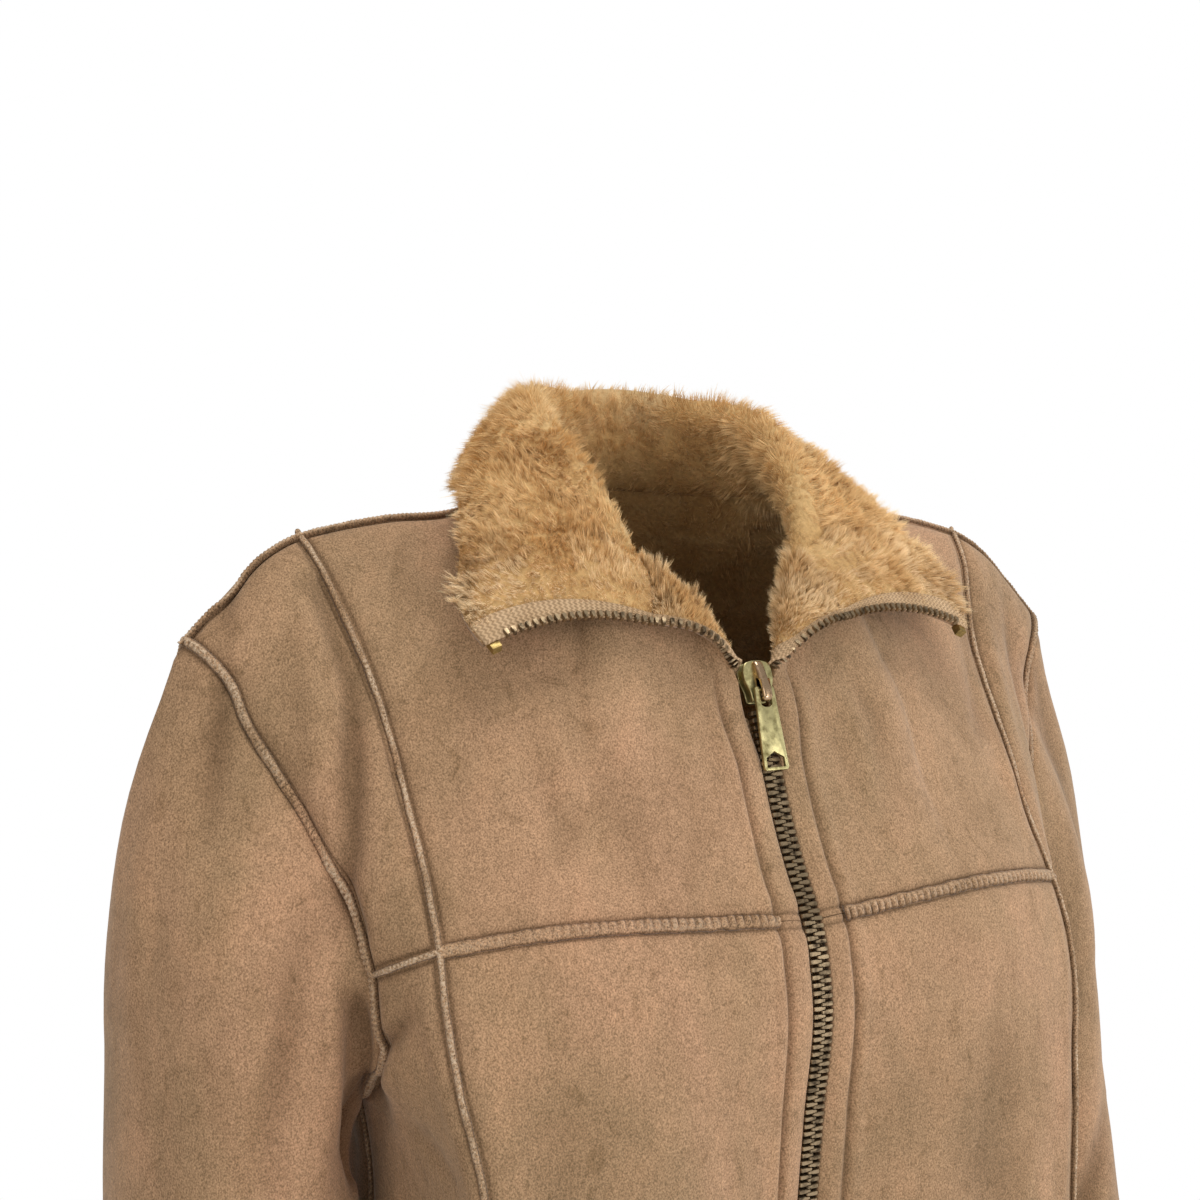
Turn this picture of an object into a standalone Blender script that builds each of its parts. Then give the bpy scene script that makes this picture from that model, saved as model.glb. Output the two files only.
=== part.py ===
"""Shearling jacket, worn open at the neck, built as a maker would cut and sew it.

Metres, +Z up.  The wearer faces -Y and the wearer's left is +X.  The origin lies between the
shoulders, at the height of the neck side of the shoulder seams.  Each cut piece is a closed
wall: its outer, suede face is a loft between seam curves, and its inner, pile face is that
loft moved in by the cloth's thickness.  Neighbours share their seam points and stand
SEAM_GAP apart.
"""
import math
from collections import namedtuple

import bmesh
import bpy
import numpy as np
from mathutils import Matrix

# ---------------------------------------------------------------- driving sizes
SEAM_GAP = 0.0003          # clear space between two cut pieces at a seam
CLOTH = 0.003              # suede with its pile pressed flat
FUR = 0.009                # suede with its pile standing, on the rolled collar
BODY_LENGTH = 0.640        # neck side of the shoulder to the hem
CHEST_SEAM_DROP = 0.200    # the same point down to the chest seam
CHAIN_WIDTH = 0.0093       # closed zip, over both rows of teeth
CHAIN_PROUD = 0.0006       # teeth out from the suede
TAPE_WIDTH = 0.0135
TAPE_DEPTH = 0.0009
TAPE_BEAD = 0.0010         # from the middle of the closed zip to the tape's edge
STOP_LENGTH = 0.0040       # top stops, past the last tooth
STOP_WIDTH = 0.0046
STOP_MARGIN = 0.0015       # collar corner to stop
BOX_HEIGHT = 0.0100        # the box at the hem that holds the other side's pin
BOX_PROUD = 0.0012
SLIDER_WIDTH = 0.0140
SLIDER_HEIGHT = 0.0172
SLIDER_FRONT = 0.0030      # its front face, out from the suede
SLIDER_BACK = 0.0030
BRIDGE_WIDTH = 0.0043
BRIDGE_REACH = 0.0077      # its outer face at its foot, out from the suede
BRIDGE_HEAD = 0.0052       # and at its head
PIN_RADIUS = 0.0009
PULL_TOP_WIDTH = 0.0094
PULL_WIDTH = 0.0120
PULL_LENGTH = 0.0342
PULL_DEPTH = 0.0015
MITRE_LIMIT = 1.1          # longest seam edge, as a multiple of the cloth's thickness

ZIP_EDGE = CHAIN_WIDTH / 2 + SEAM_GAP   # half the gap between the two front edges

# Cells along each seam.  A seam has the same number on both of its sides.
CELLS_LAPEL_SEAM = 3       # zip edge to roll line, on the turned-out lapel
CELLS_NECK_FRONT = 4       # roll line to shoulder seam
CELLS_NECK_BACK = 5        # shoulder seam to centre back
CELLS_SHOULDER_IN = 6      # neck to princess seam
CELLS_SHOULDER_OUT = 5     # princess seam to armhole
CELLS_CHEST_UP = 8         # chest seam to slider
CELLS_LAPEL_EDGE = 4       # slider to collar seam
CELLS_BELOW = 11           # hem to chest seam
CELLS_ARM_LOW = 3          # chest seam to underarm, along the armhole
CELLS_ARM_BACK = 7         # underarm to shoulder, along the back of the armhole
CELLS_TAPE = 2             # across the tape, behind the cloth
CELLS_COLLAR = 9           # across the collar, seam to outer edge
CELLS_SLEEVE_CAP = 5
CELLS_SLEEVE_ARM = 7
CELLS_FRONT = CELLS_LAPEL_SEAM + CELLS_NECK_FRONT + CELLS_SHOULDER_IN
CELLS_CHEST = CELLS_CHEST_UP + CELLS_LAPEL_EDGE
CELLS_SIDE = CELLS_BELOW - CELLS_ARM_LOW

At = namedtuple("At", "x y z")

# ---------------------------------------------------------------- sections of the body
# One row for each level below the armhole, from the hem up.
Level = namedtuple("Level", "z centre_y princess_x princess_y side_x side_y back_y")
LEVELS = [
    Level(-BODY_LENGTH, -0.1010, 0.1530, -0.0960, 0.1760, 0.004, 0.114),
    Level(-0.5300, -0.0950, 0.1450, -0.0920, 0.1620, 0.004, 0.108),
    Level(-0.4200, -0.0860, 0.1380, -0.0870, 0.1470, 0.004, 0.098),
    Level(-0.3300, -0.0870, 0.1400, -0.0915, 0.1440, 0.004, 0.103),
    Level(-0.2790, -0.0965, 0.1444, -0.0935, 0.1460, 0.004, 0.110),
]
BUST = At(0.0, -0.1063, -0.2300)          # foremost point of the centre front
CHEST_CENTRE = At(0.0, -0.1020, -CHEST_SEAM_DROP)

# ---------------------------------------------------------------- seam curves, left half
SLIDER_ROOM = 0.0083       # half the gap between the front edges where the slider sits
ZIP_LINE = [At(ZIP_EDGE, *CHEST_CENTRE[1:]), At(ZIP_EDGE, -0.0884, -0.1698),
            At(ZIP_EDGE, -0.0787, -0.1382), At(SLIDER_ROOM, -0.0735, -0.1180),
            At(SLIDER_ROOM, -0.0712, -0.1070)]
LAPEL_EDGE = [ZIP_LINE[-1], At(0.0140, -0.0720, -0.0975),
              At(0.0240, -0.0735, -0.0890), At(0.0475, -0.0680, -0.0820)]
COLLAR_FRONT = [LAPEL_EDGE[-1], At(0.0720, -0.0645, -0.0785), At(0.0980, -0.0635, -0.0815),
                At(0.1190, -0.0620, -0.0885)]
NECK_TOP = At(0.0700, -0.0020, -0.0200)   # neck side of the shoulder seam
ROLL_CROSS = At(0.0410, -0.0480, -0.0560) # where the collar seam meets the roll line
LAPEL_SEAM = [LAPEL_EDGE[-1], At(0.0425, -0.0590, -0.0680), ROLL_CROSS]
NECK_FRONT = [ROLL_CROSS, At(0.0570, -0.0350, -0.0430), At(0.0675, -0.0190, -0.0290), NECK_TOP]
NECK_BACK = [NECK_TOP, At(0.0600, 0.0350, -0.0180), At(0.0350, 0.0610, -0.0140),
             At(0.0, 0.0690, -0.0120)]
SHOULDER_IN = [NECK_TOP, At(0.1000, -0.0030, -0.0310), At(0.1300, -0.0035, -0.0330),
               At(0.1500, -0.0040, -0.0360), At(0.1680, -0.0045, -0.0400)]
SHOULDER_OUT = [SHOULDER_IN[-1], At(0.1850, -0.0050, -0.0490), At(0.1980, -0.0055, -0.0620),
                At(0.2167, -0.0055, -0.0810)]
PRINCESS = [At(0.1500, -0.0780, -0.1983), At(0.1490, -0.0629, -0.1627),
            At(0.1496, -0.0518, -0.1392), At(0.1530, -0.0350, -0.1002),
            At(0.1579, -0.0251, -0.0761), At(0.1637, -0.0165, -0.0553), SHOULDER_IN[-1]]
PRINCESS_BUST = At(0.1508, -0.0888, -0.2400)   # on the princess seam, below the chest seam
ARM_FRONT = [At(0.1657, -0.0515, -0.2080), At(0.1752, -0.0425, -0.1700),
             At(0.1818, -0.0340, -0.1490), At(0.1905, -0.0255, -0.1300),
             At(0.1985, -0.0195, -0.1130), At(0.2025, -0.0185, -0.1000),
             At(0.2095, -0.0145, -0.0890), SHOULDER_OUT[-1]]
UNDERARM = At(0.1490, 0.0040, -0.2620)
ARM_LOW = [UNDERARM, At(0.1540, -0.0220, -0.2560), At(0.1600, -0.0440, -0.2400),
           At(0.1637, -0.0490, -0.2240), ARM_FRONT[0]]
ARM_BACK = [UNDERARM, At(0.1600, 0.0380, -0.2430), At(0.1760, 0.0560, -0.2000),
            At(0.1900, 0.0510, -0.1580), At(0.2030, 0.0340, -0.1200),
            At(0.2130, 0.0120, -0.0930), SHOULDER_OUT[-1]]
CHEST_SEAM = [CHEST_CENTRE, At(0.0500, -0.1015, -0.1965), At(0.1000, -0.0940, -0.1945),
              PRINCESS[0]]
CHEST_SIDE = [PRINCESS[0], At(0.1608, -0.0668, -0.2030), ARM_FRONT[0]]

# Chest net: one row for each control level of the upper centre front.
Net = namedtuple("Net", "row roll neck mid")
CHEST_NET = [
    Net(4, At(0.0360, -0.0875, -0.1600), At(0.0820, -0.0800, -0.1600), At(0.1180, -0.0725, -0.1610)),
    Net(8, At(0.0230, -0.0680, -0.1020), At(0.0760, -0.0590, -0.0990), At(0.1180, -0.0465, -0.0960)),
    Net(10, At(0.0240, -0.0605, -0.0790), At(0.0710, -0.0470, -0.0720), At(0.1180, -0.0320, -0.0680)),
]
NET_COLUMNS = (CELLS_LAPEL_SEAM, CELLS_LAPEL_SEAM + CELLS_NECK_FRONT, CELLS_FRONT - 3)

# Collar, suede side: where it rolls over, and its free outer edge, from front to centre back.
ROLL = [ROLL_CROSS, At(0.0500, -0.0410, -0.0370), At(0.0570, -0.0200, -0.0110),
        At(0.0560, 0.0040, 0.0095), At(0.0412, 0.0350, 0.0195), At(0.0240, 0.0590, 0.0270),
        At(0.0, 0.0700, 0.0280)]
ROLL_AT_SHOULDER = 3
COLLAR_EDGE = [COLLAR_FRONT[-1], At(0.1210, -0.0470, -0.0720), At(0.1140, -0.0370, -0.0570),
               At(0.1040, -0.0220, -0.0380), At(0.0905, -0.0030, -0.0250),
               At(0.0745, 0.0330, -0.0180), At(0.0450, 0.0690, -0.0140), At(0.0, 0.0860, -0.0090)]
EDGE_AT_CROSS = 2
EDGE_AT_SHOULDER = 4
ROLL_RADIUS = 0.0045

# Centre back, from the underarm level up to the neck.
BACK_LINE = [At(0.0, 0.1120, -0.2620), At(0.0, 0.1150, -0.2000), At(0.0, 0.1120, -0.1400),
             At(0.0, 0.1020, -0.0850), At(0.0, 0.0860, -0.0420), NECK_BACK[-1]]

# Sleeve sections below the cap: centre, half width across, half depth front to back.
Ring = namedtuple("Ring", "x y z across deep")
SLEEVE = [
    Ring(0.1985, 0.0230, -0.2980, 0.0440, 0.0630),
    Ring(0.2045, 0.0180, -0.3700, 0.0430, 0.0610),
    Ring(0.2120, 0.0080, -0.4700, 0.0420, 0.0580),
    Ring(0.2190, -0.0060, -0.5600, 0.0400, 0.0550),
    Ring(0.2250, -0.0210, -0.6450, 0.0380, 0.0520),
]

CAP_PUFF = 0.006           # fullness of the sleeve head, most at its front and outside
CAP_PUFF_TURN = math.radians(35)
UNDERARM_TURN = math.radians(165)   # round the sleeve, from its outside by its front

Look = namedtuple("Look", "colour roughness metallic")
SUEDE = Look((0.52, 0.36, 0.24), 0.85, 0.0)
PILE = Look((0.66, 0.47, 0.26), 0.95, 0.0)
TAPE = Look((0.55, 0.42, 0.29), 0.80, 0.0)
TEETH = Look((0.28, 0.20, 0.10), 0.40, 1.0)
BRASS = Look((0.75, 0.60, 0.22), 0.25, 1.0)


# ---------------------------------------------------------------- curves and lofts
def smooth_line(points, dense=24):
    """A dense smooth curve through the points."""
    p = np.array(points, float)
    step = np.maximum(np.linalg.norm(np.diff(p, axis=0), axis=1), 1e-9)
    slope = np.zeros_like(p)
    for k in range(1, len(p) - 1):
        before = (p[k] - p[k - 1]) / step[k - 1]
        after = (p[k + 1] - p[k]) / step[k]
        slope[k] = (before * step[k] + after * step[k - 1]) / (step[k] + step[k - 1])
    slope[0] = 2 * (p[1] - p[0]) / step[0] - slope[1]
    slope[-1] = 2 * (p[-1] - p[-2]) / step[-1] - slope[-2]
    out = [p[0]]
    for k in range(len(p) - 1):
        for s in np.linspace(0, 1, dense + 1)[1:]:
            h00, h10 = 2 * s**3 - 3 * s**2 + 1, s**3 - 2 * s**2 + s
            h01, h11 = -2 * s**3 + 3 * s**2, s**3 - s**2
            out.append(h00 * p[k] + h10 * step[k] * slope[k] + h01 * p[k + 1] + h11 * step[k] * slope[k + 1])
    return np.array(out)


def spline(points, cells):
    """A smooth curve through the points, at equal steps along its length."""
    return resample(smooth_line(points), cells)


def spline_parts(points, parts, dense=24):
    """A smooth curve through the points; each part (last point, cells) has equal steps."""
    line = smooth_line(points, dense)
    out, start = [], 0
    for last, cells in parts:
        out.append(resample(line[start * dense:last * dense + 1], cells))
        start = last
    return join(*out)


def resample(line, cells):
    """The same line with equal steps along it."""
    length = np.concatenate([[0.0], np.cumsum(np.linalg.norm(np.diff(line, axis=0), axis=1))])
    want = np.linspace(0, length[-1], cells + 1)
    return np.stack([np.interp(want, length, line[:, k]) for k in range(3)], axis=1)


def join(*lines):
    """Lines end to end, each starting where the last one stops."""
    return np.concatenate([lines[0]] + [line[1:] for line in lines[1:]])


def fit_to_edges(grid, bottom, top, left, right):
    """Move a grid so that its four sides lie on the seam curves, as a Coons patch does."""
    rows, columns = grid.shape[:2]
    v = np.linspace(0, 1, rows)[:, None, None]
    u = np.linspace(0, 1, columns)[None, :, None]
    low, high = (bottom - grid[0])[None], (top - grid[-1])[None]
    near, far = (left - grid[:, 0])[:, None], (right - grid[:, -1])[:, None]
    corners = ((1 - v) * ((1 - u) * low[:, :1] + u * low[:, -1:])
               + v * ((1 - u) * high[:, :1] + u * high[:, -1:]))
    return grid + (1 - v) * low + v * high + (1 - u) * near + u * far - corners


def coons(bottom, top, left, right):
    return fit_to_edges(np.zeros((len(left), len(bottom), 3)), bottom, top, left, right)


def bulge(grid, height):
    """Raise the middle of a grid along its own normals."""
    rows, columns = grid.shape[:2]
    v = np.sin(np.linspace(0, math.pi, rows))[:, None, None]
    u = np.sin(np.linspace(0, math.pi, columns))[None, :, None]
    return grid + grid_normals(grid) * u * v * height


def units(vectors):
    return vectors / np.maximum(np.linalg.norm(vectors, axis=-1, keepdims=True), 1e-12)


def grid_normals(grid):
    """Unit normals of a grid: at each point, the mean over the cells that touch it."""
    cell = units(np.cross(grid[1:, 1:] - grid[:-1, :-1], grid[1:, :-1] - grid[:-1, 1:]))
    total = np.zeros_like(grid)
    for i in (0, 1):
        for j in (0, 1):
            rows, columns = total.shape[0] - 1, total.shape[1] - 1
            total[i:i + rows, j:j + columns] += cell
    return units(total)


MIRRORED = np.array([-1.0, 1.0, 1.0])


def mirrored(grid):
    """The other half of the garment: x changes sign, and the columns run the other way."""
    return (grid * MIRRORED)[:, ::-1]


# ---------------------------------------------------------------- the seams, sampled
def level_line(column_x, column_y, last, cells):
    """A curve down the body through every level, ending at a given top point."""
    rows = [At(getattr(row, column_x) if column_x else 0.0, getattr(row, column_y), row.z)
            for row in LEVELS]
    return spline(rows + last, cells)


def sample_seams():
    s = {}
    s["zip_low"] = level_line(None, "centre_y", [BUST, CHEST_CENTRE], CELLS_BELOW)
    s["zip_up"] = spline(ZIP_LINE, CELLS_CHEST_UP)
    s["zip_low"][:, 0] = ZIP_EDGE
    s["zip_up"][:, 0] = np.maximum(s["zip_up"][:, 0], ZIP_EDGE)
    s["lapel_edge"] = spline(LAPEL_EDGE, CELLS_LAPEL_EDGE)
    s["collar_front"] = spline(COLLAR_FRONT, CELLS_COLLAR)
    s["lapel_seam"] = spline(LAPEL_SEAM, CELLS_LAPEL_SEAM)
    s["neck_front"] = spline(NECK_FRONT, CELLS_NECK_FRONT)
    s["neck_back"] = spline(NECK_BACK, CELLS_NECK_BACK)
    s["shoulder_in"] = spline(SHOULDER_IN, CELLS_SHOULDER_IN)
    s["shoulder_out"] = spline(SHOULDER_OUT, CELLS_SHOULDER_OUT)
    s["princess_up"] = spline(PRINCESS, CELLS_CHEST)
    s["princess_low"] = level_line("princess_x", "princess_y", [PRINCESS_BUST, PRINCESS[0]],
                                  CELLS_BELOW)
    s["arm_front"] = spline(ARM_FRONT, CELLS_CHEST)
    s["arm_low"] = spline(ARM_LOW, CELLS_ARM_LOW)
    s["arm_back"] = spline(ARM_BACK, CELLS_ARM_BACK)
    s["side"] = level_line("side_x", "side_y", [UNDERARM], CELLS_SIDE)
    s["chest"] = spline([At(ZIP_EDGE, *CHEST_CENTRE[1:])] + CHEST_SEAM[1:], CELLS_FRONT)
    s["chest_side"] = spline(CHEST_SIDE, CELLS_SHOULDER_OUT)
    s["back_up"] = spline(BACK_LINE, CELLS_ARM_BACK)
    s["back_low"] = level_line(None, "back_y", [BACK_LINE[0]], CELLS_SIDE)
    return s


# ---------------------------------------------------------------- the cut pieces, as grids
def grid_chest_centre(s):
    """Upper centre front, chest seam to shoulder, with the lapel turned out above the slider."""
    top = join(s["lapel_seam"], s["neck_front"], s["shoulder_in"])
    left = join(s["zip_up"], s["lapel_edge"])
    right = s["princess_up"]
    columns = (0,) + NET_COLUMNS + (CELLS_FRONT,)
    rows = [0] + [net.row for net in CHEST_NET] + [CELLS_CHEST]
    net = [[s["chest"][c] for c in columns]]
    for level in CHEST_NET:
        net.append([left[level.row], level.roll, level.neck, level.mid, right[level.row]])
    net.append([top[c] for c in columns])
    across = np.array([smooth_at(np.array(line), columns, CELLS_FRONT) for line in net])
    grid = np.stack([smooth_at(across[:, c], rows, CELLS_CHEST) for c in range(CELLS_FRONT + 1)], axis=1)
    return fit_to_edges(grid, s["chest"], top, left, right)


def smooth_at(points, places, cells):
    """A smooth curve through points at the given whole places, read at every cell."""
    places = np.array(places, float)
    slope = np.gradient(points, places, axis=0)
    out = []
    for place in range(cells + 1):
        k = min(np.searchsorted(places, place, side="right") - 1, len(places) - 2)
        width = places[k + 1] - places[k]
        t = (place - places[k]) / width
        out.append((2 * t**3 - 3 * t**2 + 1) * points[k] + (t**3 - 2 * t**2 + t) * width * slope[k]
                   + (-2 * t**3 + 3 * t**2) * points[k + 1] + (t**3 - t**2) * width * slope[k + 1])
    return np.array(out)


def grid_chest_side(s):
    """Upper side front, princess seam to armhole."""
    grid = coons(s["chest_side"], s["shoulder_out"], s["princess_up"], s["arm_front"])
    return bulge(grid, 0.004)


def grid_lower_centre(s):
    """Lower centre front, hem to chest seam."""
    hem = spline([At(*s["zip_low"][0]), At(0.080, LEVELS[0].centre_y - 0.005, -BODY_LENGTH),
                  At(*s["princess_low"][0])], CELLS_FRONT)
    return bulge(coons(hem, s["chest"], s["zip_low"], s["princess_low"]), 0.004)


def quarter(start, end, power, cells):
    """A rounded corner from start to end: off along x, and in along y."""
    turn = np.linspace(0, math.pi / 2, 40)
    u = np.sin(turn) ** (2 / power)
    w = 1 - np.cos(turn) ** (2 / power)
    line = np.stack([start[0] + (end[0] - start[0]) * u, start[1] + (end[1] - start[1]) * w,
                     start[2] + (end[2] - start[2]) * (u + w) / 2], axis=1)
    return resample(line, cells)


def grid_lower_side(s):
    """Lower side front, princess seam to side seam and armhole."""
    right = join(s["side"], s["arm_low"])
    rows = [quarter(a, b, 2.4, CELLS_SHOULDER_OUT) for a, b in zip(s["princess_low"], right)]
    hem = rows[0]
    return fit_to_edges(np.array(rows), hem, s["chest_side"], s["princess_low"], right)


def grid_back_half(s):
    """Left half of the back, centre back to side seam and armhole."""
    left = join(s["back_low"], s["back_up"])
    right = join(s["side"], s["arm_back"])
    top = join(s["neck_back"][::-1], s["shoulder_in"], s["shoulder_out"])
    cells = len(top) - 1
    grid = np.array([corner_back(centre, edge, cells) for centre, edge in zip(left, right)])
    rise = np.clip((np.arange(len(left)) - CELLS_SIDE) / CELLS_ARM_BACK, 0, 1)
    turn = (1 - np.sqrt(1 - rise ** 2))[:, None, None]
    exact = (rise ** 8)[:, None, None]
    gap = top - grid[-1]
    grid = grid + turn * (exact * gap[None] + (1 - exact) * spread(gap)[None])
    return fit_to_edges(grid, grid[0], top, left, right)


def spread(line, rounds=12):
    """A line with its bends spread out along it, and its ends kept."""
    for _ in range(rounds):
        line = np.concatenate([line[:1], (line[:-2] + 2 * line[1:-1] + line[2:]) / 4, line[-1:]])
    return line


def corner_back(centre, edge, cells, power=2.5):
    """One section of the back: flat across the middle and rounded at the side."""
    turn = np.linspace(0, math.pi / 2, 40)
    u = np.sin(turn) ** (2 / power)
    w = np.cos(turn) ** (2 / power)
    line = np.stack([edge[0] * u, edge[1] + (centre[1] - edge[1]) * w,
                     centre[2] + (edge[2] - centre[2]) * u ** 2], axis=1)
    return resample(line, cells)


def grid_collar_half(s):
    """Left half of the collar, front edge to centre back: seam, roll and fall."""
    seam = join(s["lapel_seam"], s["neck_front"], s["neck_back"])
    stations = len(seam) - 1
    edge = spline_parts(COLLAR_EDGE, ((EDGE_AT_CROSS, CELLS_LAPEL_SEAM),
                                      (EDGE_AT_SHOULDER, CELLS_NECK_FRONT),
                                      (len(COLLAR_EDGE) - 1, CELLS_NECK_BACK)))
    roll = spline_parts(ROLL, ((ROLL_AT_SHOULDER, CELLS_NECK_FRONT), (len(ROLL) - 1, CELLS_NECK_BACK)))
    rows = []
    for k in range(stations + 1):
        if k <= CELLS_LAPEL_SEAM:
            middle = (seam[k] + edge[k]) / 2
            lift = 0.003 * k / CELLS_LAPEL_SEAM
            line = spline([At(*seam[k]), At(middle[0], middle[1] - lift, middle[2] + lift),
                           At(*edge[k])], CELLS_COLLAR)
        else:
            line = collar_section(seam[k], roll[k - CELLS_LAPEL_SEAM], edge[k])
        rows.append(line)
    grid = np.stack(rows, axis=1)
    return fit_to_edges(grid, seam, edge, s["collar_front"], grid[:, -1])


def collar_section(seam, roll, edge):
    """One section across the collar: up the stand, over the roll and down the fall."""
    out = edge - roll
    out[2] = 0.0
    out = out / np.linalg.norm(out)
    stand = roll - seam
    radius = ROLL_RADIUS * min(1.0, np.linalg.norm(stand) / 0.020)
    inner = seam + stand * 0.65 - out * radius
    outer = roll + out * radius - np.array([0, 0, radius * 0.7])
    middle = (outer * 0.45 + edge * 0.55) + np.array([0, 0, 0.004])
    return spline([At(*seam), At(*inner), At(*roll), At(*outer), At(*middle), At(*edge)], CELLS_COLLAR)


def grid_sleeve(s):
    """Left sleeve: one tube from the armhole to the cuff."""
    front = join(s["arm_front"][::-1], s["arm_low"][::-1])
    loop = join(front, s["arm_back"])
    front_cells = len(front) - 1
    turns = np.concatenate([np.linspace(0, UNDERARM_TURN, front_cells + 1),
                            np.linspace(UNDERARM_TURN, 2 * math.pi, CELLS_ARM_BACK + 1)[1:]])
    centres = spline([At(r.x, r.y, r.z) for r in SLEEVE], CELLS_SLEEVE_ARM)
    down = [-ring.z for ring in SLEEVE]
    across = np.interp(-centres[:, 2], down, [ring.across for ring in SLEEVE])
    deep = np.interp(-centres[:, 2], down, [ring.deep for ring in SLEEVE])
    rings = [np.stack([c[0] + a * np.cos(turns), c[1] - d * np.sin(turns),
                       np.full(len(turns), c[2])], axis=1)
             for c, a, d in zip(centres, across, deep)]
    rows = []
    for k in range(CELLS_SLEEVE_CAP):
        t = k / CELLS_SLEEVE_CAP
        ease = 1 - (1 - t) ** 2.2
        mix = np.array([ease, ease, t])
        facing = np.maximum(0, np.cos(turns - CAP_PUFF_TURN))
        puff = CAP_PUFF * math.sin(math.pi * min(1.0, 1.4 * t)) * facing
        lift = np.stack([np.cos(turns), -np.sin(turns), np.zeros(len(turns))], axis=1)
        rows.append(loop * (1 - mix) + rings[0] * mix + lift * puff[:, None])
    return np.array(rows + rings)[::-1]


# ---------------------------------------------------------------- walls
def vertex_key(point):
    return tuple(np.round(np.asarray(point) * 1e5).astype(int))


def collect_seam_normals(grids):
    """The normals of the pieces that meet at each point, with the angle each one fills."""
    meeting = {}
    for grid, closed in grids:
        normals = piece_normals(grid, closed)
        rows, columns = grid.shape[:2]
        for i in range(rows):
            for j in range(columns - (1 if closed else 0)):
                angle = filled_angle(grid, i, j, closed)
                entry = (normals[i, j], angle, closed)
                meeting.setdefault(vertex_key(grid[i, j]), []).append(entry)
    return meeting


def rim_neighbours(i, j, rows, columns, closed):
    """The points before and after this one along the rim, counter-clockwise, or None inside."""
    top, side = rows - 1, columns - 1
    if closed:
        step = {0: 1, top: -1}.get(i)
        if step is None:
            return None
        j = j % side
        return (i, (j - step) % side), (i, (j + step) % side)
    if 0 < i < top and 0 < j < side:
        return None
    if i == 0 and j < side:
        after = (0, j + 1)
    elif j == side and i < top:
        after = (i + 1, side)
    elif i == top and j > 0:
        after = (top, j - 1)
    else:
        after = (i - 1, 0)
    if i == 0 and j > 0:
        before = (0, j - 1)
    elif j == side and i > 0:
        before = (i - 1, side)
    elif i == top and j < side:
        before = (top, j + 1)
    else:
        before = (i + 1, 0)
    return before, after


def filled_angle(grid, i, j, closed):
    """The angle that a piece fills at one of its points."""
    rim = rim_neighbours(i, j, *grid.shape[:2], closed)
    if rim is None:
        return 2 * math.pi
    a, b = units(grid[rim[0]] - grid[i, j]), units(grid[rim[1]] - grid[i, j])
    return math.acos(max(-1.0, min(1.0, float(a @ b))))


def shared_normal(shared):
    """The mean normal where pieces meet, and how far a wall's edge stretches along it.

    A sleeve weighs as much as all the body pieces on the other side of its seam.
    """
    body = [normal * angle for normal, angle, closed in shared if not closed]
    tube = [normal for normal, _, closed in shared if closed]
    mean = np.zeros(3)
    if body:
        mean = mean + units(np.sum(body, axis=0))
    if tube:
        mean = mean + tube[0]
    mean = units(mean)
    lean = np.mean([normal @ mean for normal, _, _ in shared])
    return mean, min(MITRE_LIMIT, 1 / max(lean, 0.2))


def piece_normals(grid, closed):
    if not closed:
        return grid_normals(grid)
    wrapped = np.concatenate([grid[:, -2:-1], grid, grid[:, 1:2]], axis=1)
    return grid_normals(wrapped)[:, 1:-1]


def wall(grid, closed, meeting, thickness):
    """A closed wall on a grid: outer face, inner face and rims, clear of its neighbours."""
    rows, columns = grid.shape[:2]
    normals = piece_normals(grid, closed)
    outer = grid.copy()
    inner = np.zeros_like(grid)
    for i in range(rows):
        for j in range(columns):
            shared = meeting[vertex_key(grid[i, j])]
            mean, stretch = shared_normal(shared)
            if abs(grid[i, j, 0]) < SLIDER_ROOM + SEAM_GAP and mean[1] < -0.3:
                mean = units(mean * np.array([0, 1, 1]))
            shift = np.zeros(3)
            if len(shared) > 1:
                shift = edge_shift(grid, i, j, closed, mean, normals[i, j])
            depth = thickness[i, j] * stretch
            outer[i, j] = grid[i, j] + shift
            inner[i, j] = grid[i, j] + shift - mean * depth
    return outer, inner


def edge_shift(grid, i, j, closed, mean, normal):
    """Half the seam gap, away from the rim on both sides of this point."""
    before, after = rim_neighbours(i, j, *grid.shape[:2], closed)
    inward = []
    for start, end in ((before, (i, j)), ((i, j), after)):
        along = units(grid[end] - grid[start])
        turned = np.cross(mean, along)
        if np.linalg.norm(turned) < 0.35:
            turned = np.cross(normal, along)
        inward.append(units(turned))
    first, second = inward
    return (first + second) * SEAM_GAP / 2 / max(1 + first @ second, 0.5)


def triangles(a, b, c, d, points):
    """Two triangles for a quad, split along its shorter diagonal."""
    first = np.linalg.norm(points[a] - points[c])
    second = np.linalg.norm(points[b] - points[d])
    if first <= second:
        return [(a, b, c), (a, c, d)]
    return [(a, b, d), (b, c, d)]


def wall_mesh(grid, closed, outer, inner):
    """Points and faces of the closed wall on a grid."""
    rows, columns = grid.shape[:2]
    used = columns - 1 if closed else columns
    points = np.concatenate([outer[:, :used].reshape(-1, 3), inner[:, :used].reshape(-1, 3)])
    half = rows * used

    def at(i, j, side):
        return side * half + i * used + j % used

    faces = []
    spans = used if closed else used - 1
    for i in range(rows - 1):
        for j in range(spans):
            quad = (at(i, j, 0), at(i, j + 1, 0), at(i + 1, j + 1, 0), at(i + 1, j, 0))
            for face in triangles(*quad, points):
                faces.append(face)
                faces.append(tuple(k + half for k in reversed(face)))
    rims = []
    for j in range(spans):
        rims += [((0, j + 1), (0, j)), ((rows - 1, j), (rows - 1, j + 1))]
    if not closed:
        for i in range(rows - 1):
            rims += [((i, 0), (i + 1, 0)), ((i + 1, used - 1), (i, used - 1))]
    for start, end in rims:
        faces += rim_faces(grid, start, end, at)
    return points, faces


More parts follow.
